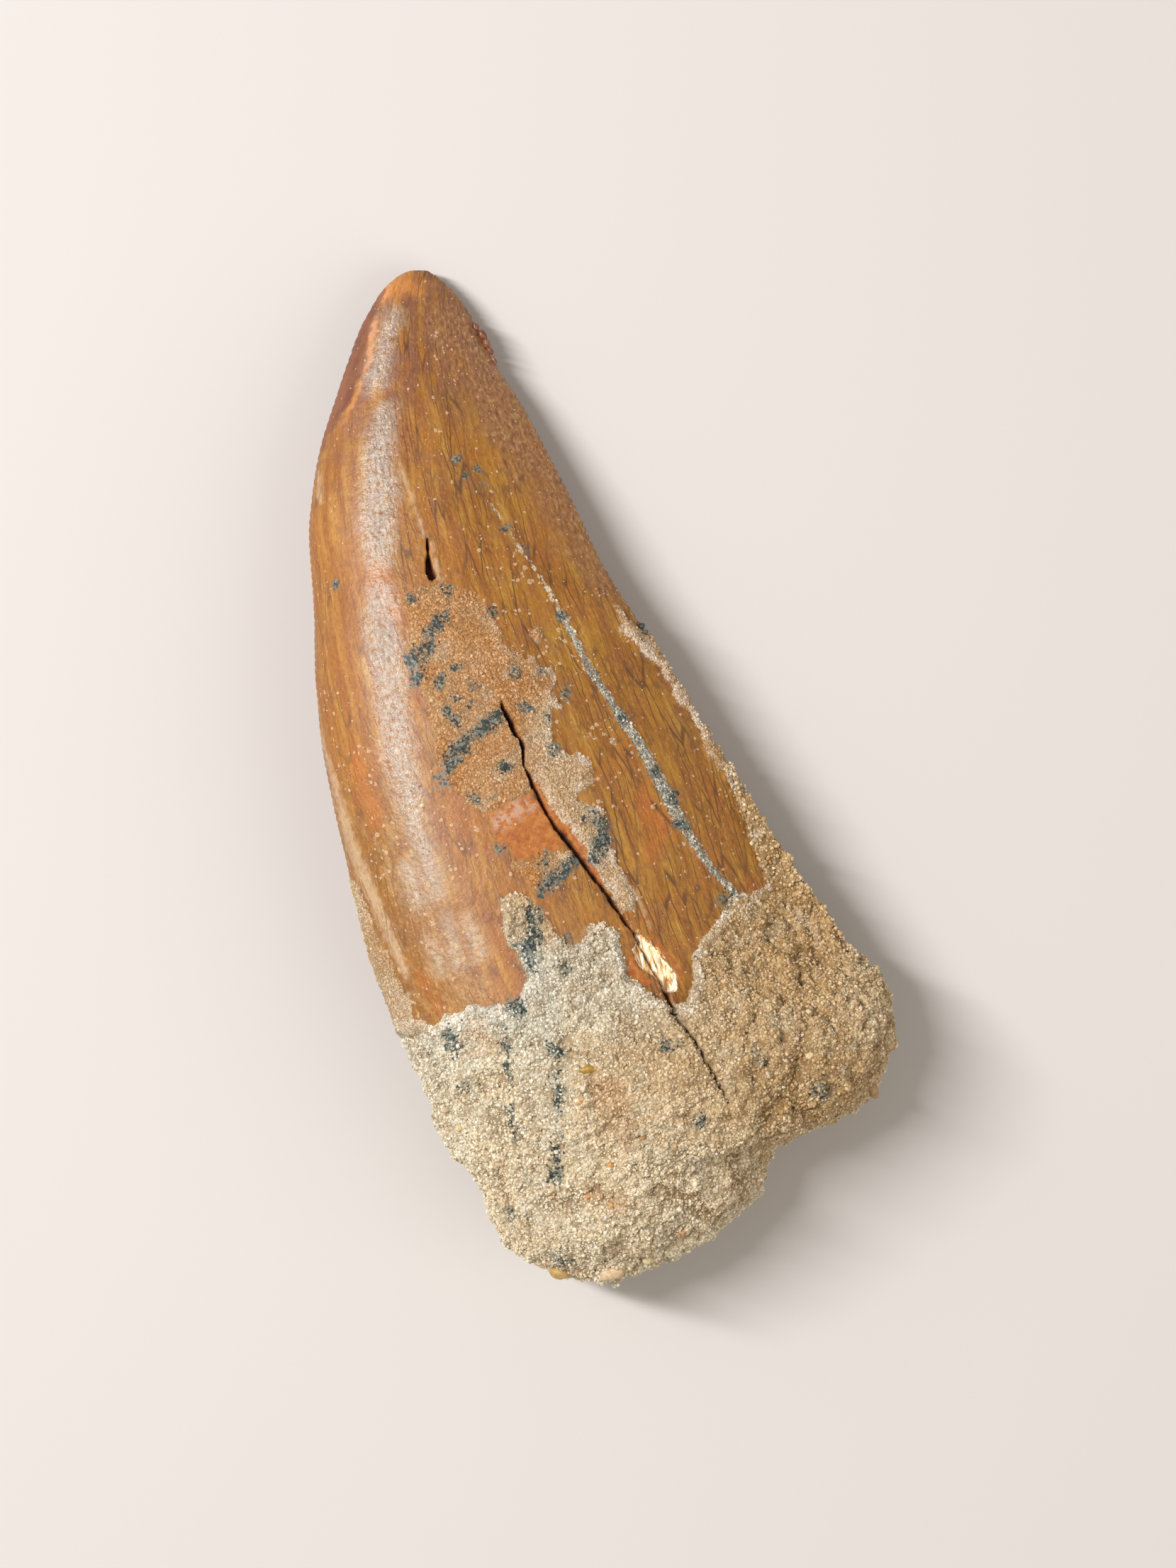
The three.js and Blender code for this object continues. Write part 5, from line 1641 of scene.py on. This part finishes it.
@dataclass
class LargeGrains:
    """The few grains and knobs that are seen one by one, each a knobbly rounded pebble."""

    places: Array
    finish: WornGrain
    rings: int = 10
    around: int = 14
    half_height: float = 0.42
    sunk: float = 0.2
    reach: float = 0.15
    first_seed: int = 80

    def pebble(self, grain: LargeGrain, seed: int) -> tuple[Array, list[Array]]:
        """Makes one pebble.

        A sphere by latitude and longitude, its radius shaken by noise, is stretched, turned about the
        upright and set into the highest surface under its place.

        Args:
            grain: the grain.
            seed: picks its knobs.

        Returns:
            Its points, and its faces as arrays of four and three corners.
        """
        tilt = np.linspace(0, math.pi, self.rings + 2)[1:-1, None]
        turn = -np.linspace(0, 2 * math.pi, self.around, endpoint=False)[None]
        unit = np.stack([
            np.sin(tilt) * np.cos(turn), np.sin(tilt) * np.sin(turn), np.cos(tilt) + 0 * turn], axis=-1)
        ends = np.array([(0, 0, 1.0), (0, 0, -1.0)])
        points, faces = ring_surface(unit, *ends)
        points = points * (1 + 0.36 * rough(points, 1.0, seed))[:, None]
        points = points * (grain.length / 2, grain.width / 2, self.half_height * grain.width)
        c, s = math.cos(math.radians(grain.turn_degrees)), math.sin(math.radians(grain.turn_degrees))
        points = points @ np.array([(c, s, 0), (-s, c, 0), (0, 0, 1)])
        gap = np.hypot(self.places[:, 0] - grain.x, self.places[:, 1] - grain.y)
        level = self.places[gap <= gap.min() + self.reach, 2].max()
        middle = level + (0.5 - self.half_height - self.sunk) * grain.width
        return points + (grain.x, grain.y, middle), faces

    def build(self) -> bpy.types.Object:
        """Joins the pebbles in one mesh, with the tone of each stored on its points."""
        points, quads, fans, tones = [], [], [], []
        count = 0
        for number, grain in enumerate(LARGE_GRAINS):
            own, faces = self.pebble(grain, self.first_seed + number)
            points.append(own)
            quads.append(faces[0] + count)
            fans.append(faces[1] + count)
            tones.append(np.tile(linear(grain.tone)[:3], (len(own), 1)))
            count += len(own)
        faces = [np.concatenate(quads), np.concatenate(fans)]
        piece = make_piece("large_grains", np.concatenate(points), faces)
        paint(piece, "tone", np.concatenate(tones))
        piece.data.materials.append(self.finish.build())
        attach(piece, "root")
        log.info("large grains: %d", len(LARGE_GRAINS))
        return piece


@dataclass
class Studio:
    """Pale floor, soft light from the upper left, and the camera straight above, as in the photograph."""

    paper: Paper
    aim: Place = (-0.12, -2.1, 6.0)
    distance: float = 500.0
    turn_degrees: float = -11.5
    sensor: float = 36.0
    view_height: float = 120.3
    floor_reach: float = 1500.0
    dim_light: float = 0.38

    def floor(self) -> None:
        """Lays a plain floor, matt and warm white."""
        mesh = bpy.data.meshes.new("floor")
        far = self.floor_reach * MM
        mesh.from_pydata([(-far, -far, 0), (far, -far, 0), (far, far, 0), (-far, far, 0)], [], [(0, 1, 2, 3)])
        floor = bpy.data.objects.new("floor", mesh)
        bpy.context.scene.collection.objects.link(floor)
        mesh.materials.append(self.paper.build())

    def lamp(self, name: str, place: Place, size: tuple[float, float], watts: float, colour: str) -> None:
        """Hangs a rectangular soft light, facing the specimen.

        Args:
            name: its name.
            place: its middle, in mm.
            size: its width and height, in mm.
            watts: its power.
            colour: its colour, as hex.
        """
        light = bpy.data.lights.new(name, "AREA")
        light.shape = "RECTANGLE"
        light.size, light.size_y = size[0] * MM, size[1] * MM
        light.energy = watts
        light.color = linear(colour)[:3]
        lamp = bpy.data.objects.new(name, light)
        lamp.location = [c * MM for c in place]
        lamp.rotation_euler = (-lamp.location).to_track_quat("-Z", "Y").to_euler()
        bpy.context.scene.collection.objects.link(lamp)

    def build(self) -> None:
        """Sets the floor, the lamps, the dim surroundings and the camera."""
        self.floor()
        self.lamp("key", (-330, 230, 370), (220, 280), 0.4, "#fffaf2")
        self.lamp("window", (-262, 150, 442), (42, 320), 3.2, "#fbfaff")
        self.lamp("fill", (360, -300, 400), (500, 500), 1.45, "#fdf6f0")
        world = bpy.data.worlds.new("surroundings")
        world.use_nodes = True
        background = world.node_tree.nodes["Background"]
        background.inputs["Color"].default_value = linear("#f4f0ea")
        background.inputs["Strength"].default_value = self.dim_light
        scene = bpy.context.scene
        scene.world = world
        scene.view_settings.view_transform = "Standard"
        data = bpy.data.cameras.new("camera")
        data.sensor_width = self.sensor
        data.lens = self.sensor * self.distance / self.view_height
        data.clip_start = 0.01
        camera = bpy.data.objects.new("camera", data)
        camera.location = (self.aim[0] * MM, self.aim[1] * MM, (self.aim[2] + self.distance) * MM)
        camera.rotation_euler = (0, 0, math.radians(self.turn_degrees))
        scene.collection.objects.link(camera)
        scene.camera = camera


def hidden_marks() -> Marks:
    """Marks of the inner face, which follow the same kinds as the outer one but lie elsewhere."""
    return Marks(
        crack=[], pit=[], chip=[], chip_rims=[], window=[],
        crack_lip=[(-7.4, -1.0, 0.3), (-7.0, -4.6, 0.5)],
        crust=[(1.4, 5.6), (3.0, 4.6), (3.8, 5.0), (4.6, 3.4), (4.2, 2.0), (5.4, 1.0), (5.6, -1.2),
               (4.6, -1.6), (4.6, -4.4), (3.4, -5.8), (2.8, -4.0), (1.6, -4.6), (1.0, -2.4),
               (0.2, -1.0), (0.8, 0.6), (-0.4, 1.4), (0.2, 3.0)],
        patches=[[(-13.2, -2.2), (-12.2, -0.8), (-11.4, -1.8), (-10.6, -1.2), (-10.2, -3.4), (-9.2, -4.2),
                  (-10.0, -6.0), (-11.4, -6.2), (-11.8, -8.6), (-13.0, -7.6), (-13.2, -5.4), (-14.4, -4.6)]],
        vein=[(1.8, 21.0, 0.1), (1.2, 16.4, 0.3), (0.2, 11.6, 0.36), (-0.9, 6.8, 0.3),
              (-1.3, 2.4, 0.34), (-2.4, -3.4, 0.3), (-2.6, -6.4, 0.1)],
        pale=[[(-3.4, 28.0, 0.1), (-3.0, 24.0, 0.16), (-2.2, 20.0, 0.06)]], bleached=[[(-7.4, -3.0, 0.3)]],
        orange=[[(-7.8, 37.6, 0.7), (-5.6, 38.3, 0.7)], [(-12.0, -10.4, 0.9), (-9.4, -12.4, 0.6)]],
        # The inner face's rubbed crest, also painted as a highlight
        wear_and_highlight=[[(-9.0, 27.0, 0.8), (-11.5, 18.0, 1.0), (-13.0, 8.0, 1.0), (-13.4, -2.0, 0.6)]],
        stains=[[(3.2, 2.2, 0.5), (3.8, 0.2, 0.4)], [(-11.6, -4.4, 0.6)], [(0.2, 11.4, 0.3)],
                [(4.0, -18.0, 0.7), (4.4, -22.4, 0.5)], [(-6.2, -28.6, 0.6)], [(10.2, -20.4, 0.5)]])


def main() -> None:
    """Builds the crown, the sandstone, the grains on both, and the studio."""
    logging.basicConfig(level=logging.INFO, format="%(name)s %(message)s")
    rng = np.random.default_rng(SEED)
    seam, zones = Seam(), Zones()
    marks = {Face.OUTER: Marks(), Face.INNER: hidden_marks()}
    crown_form = CrownForm()
    crown = Crown(crown_form, seam, zones, marks, FossilEnamel())
    crown.build()
    matrix = Matrix(SandForm(), crown_form, seam, zones, marks, Sandstone())
    matrix.build()
    sand = Sand(crown, matrix, rng)
    sand.clump()
    sand.crust()
    places = np.concatenate([crown.surface.reshape(-1, 3), matrix.surface.reshape(-1, 3)])
    LargeGrains(places, WornGrain()).build()
    Studio(Paper()).build()


if __name__ == "__main__":
    main()
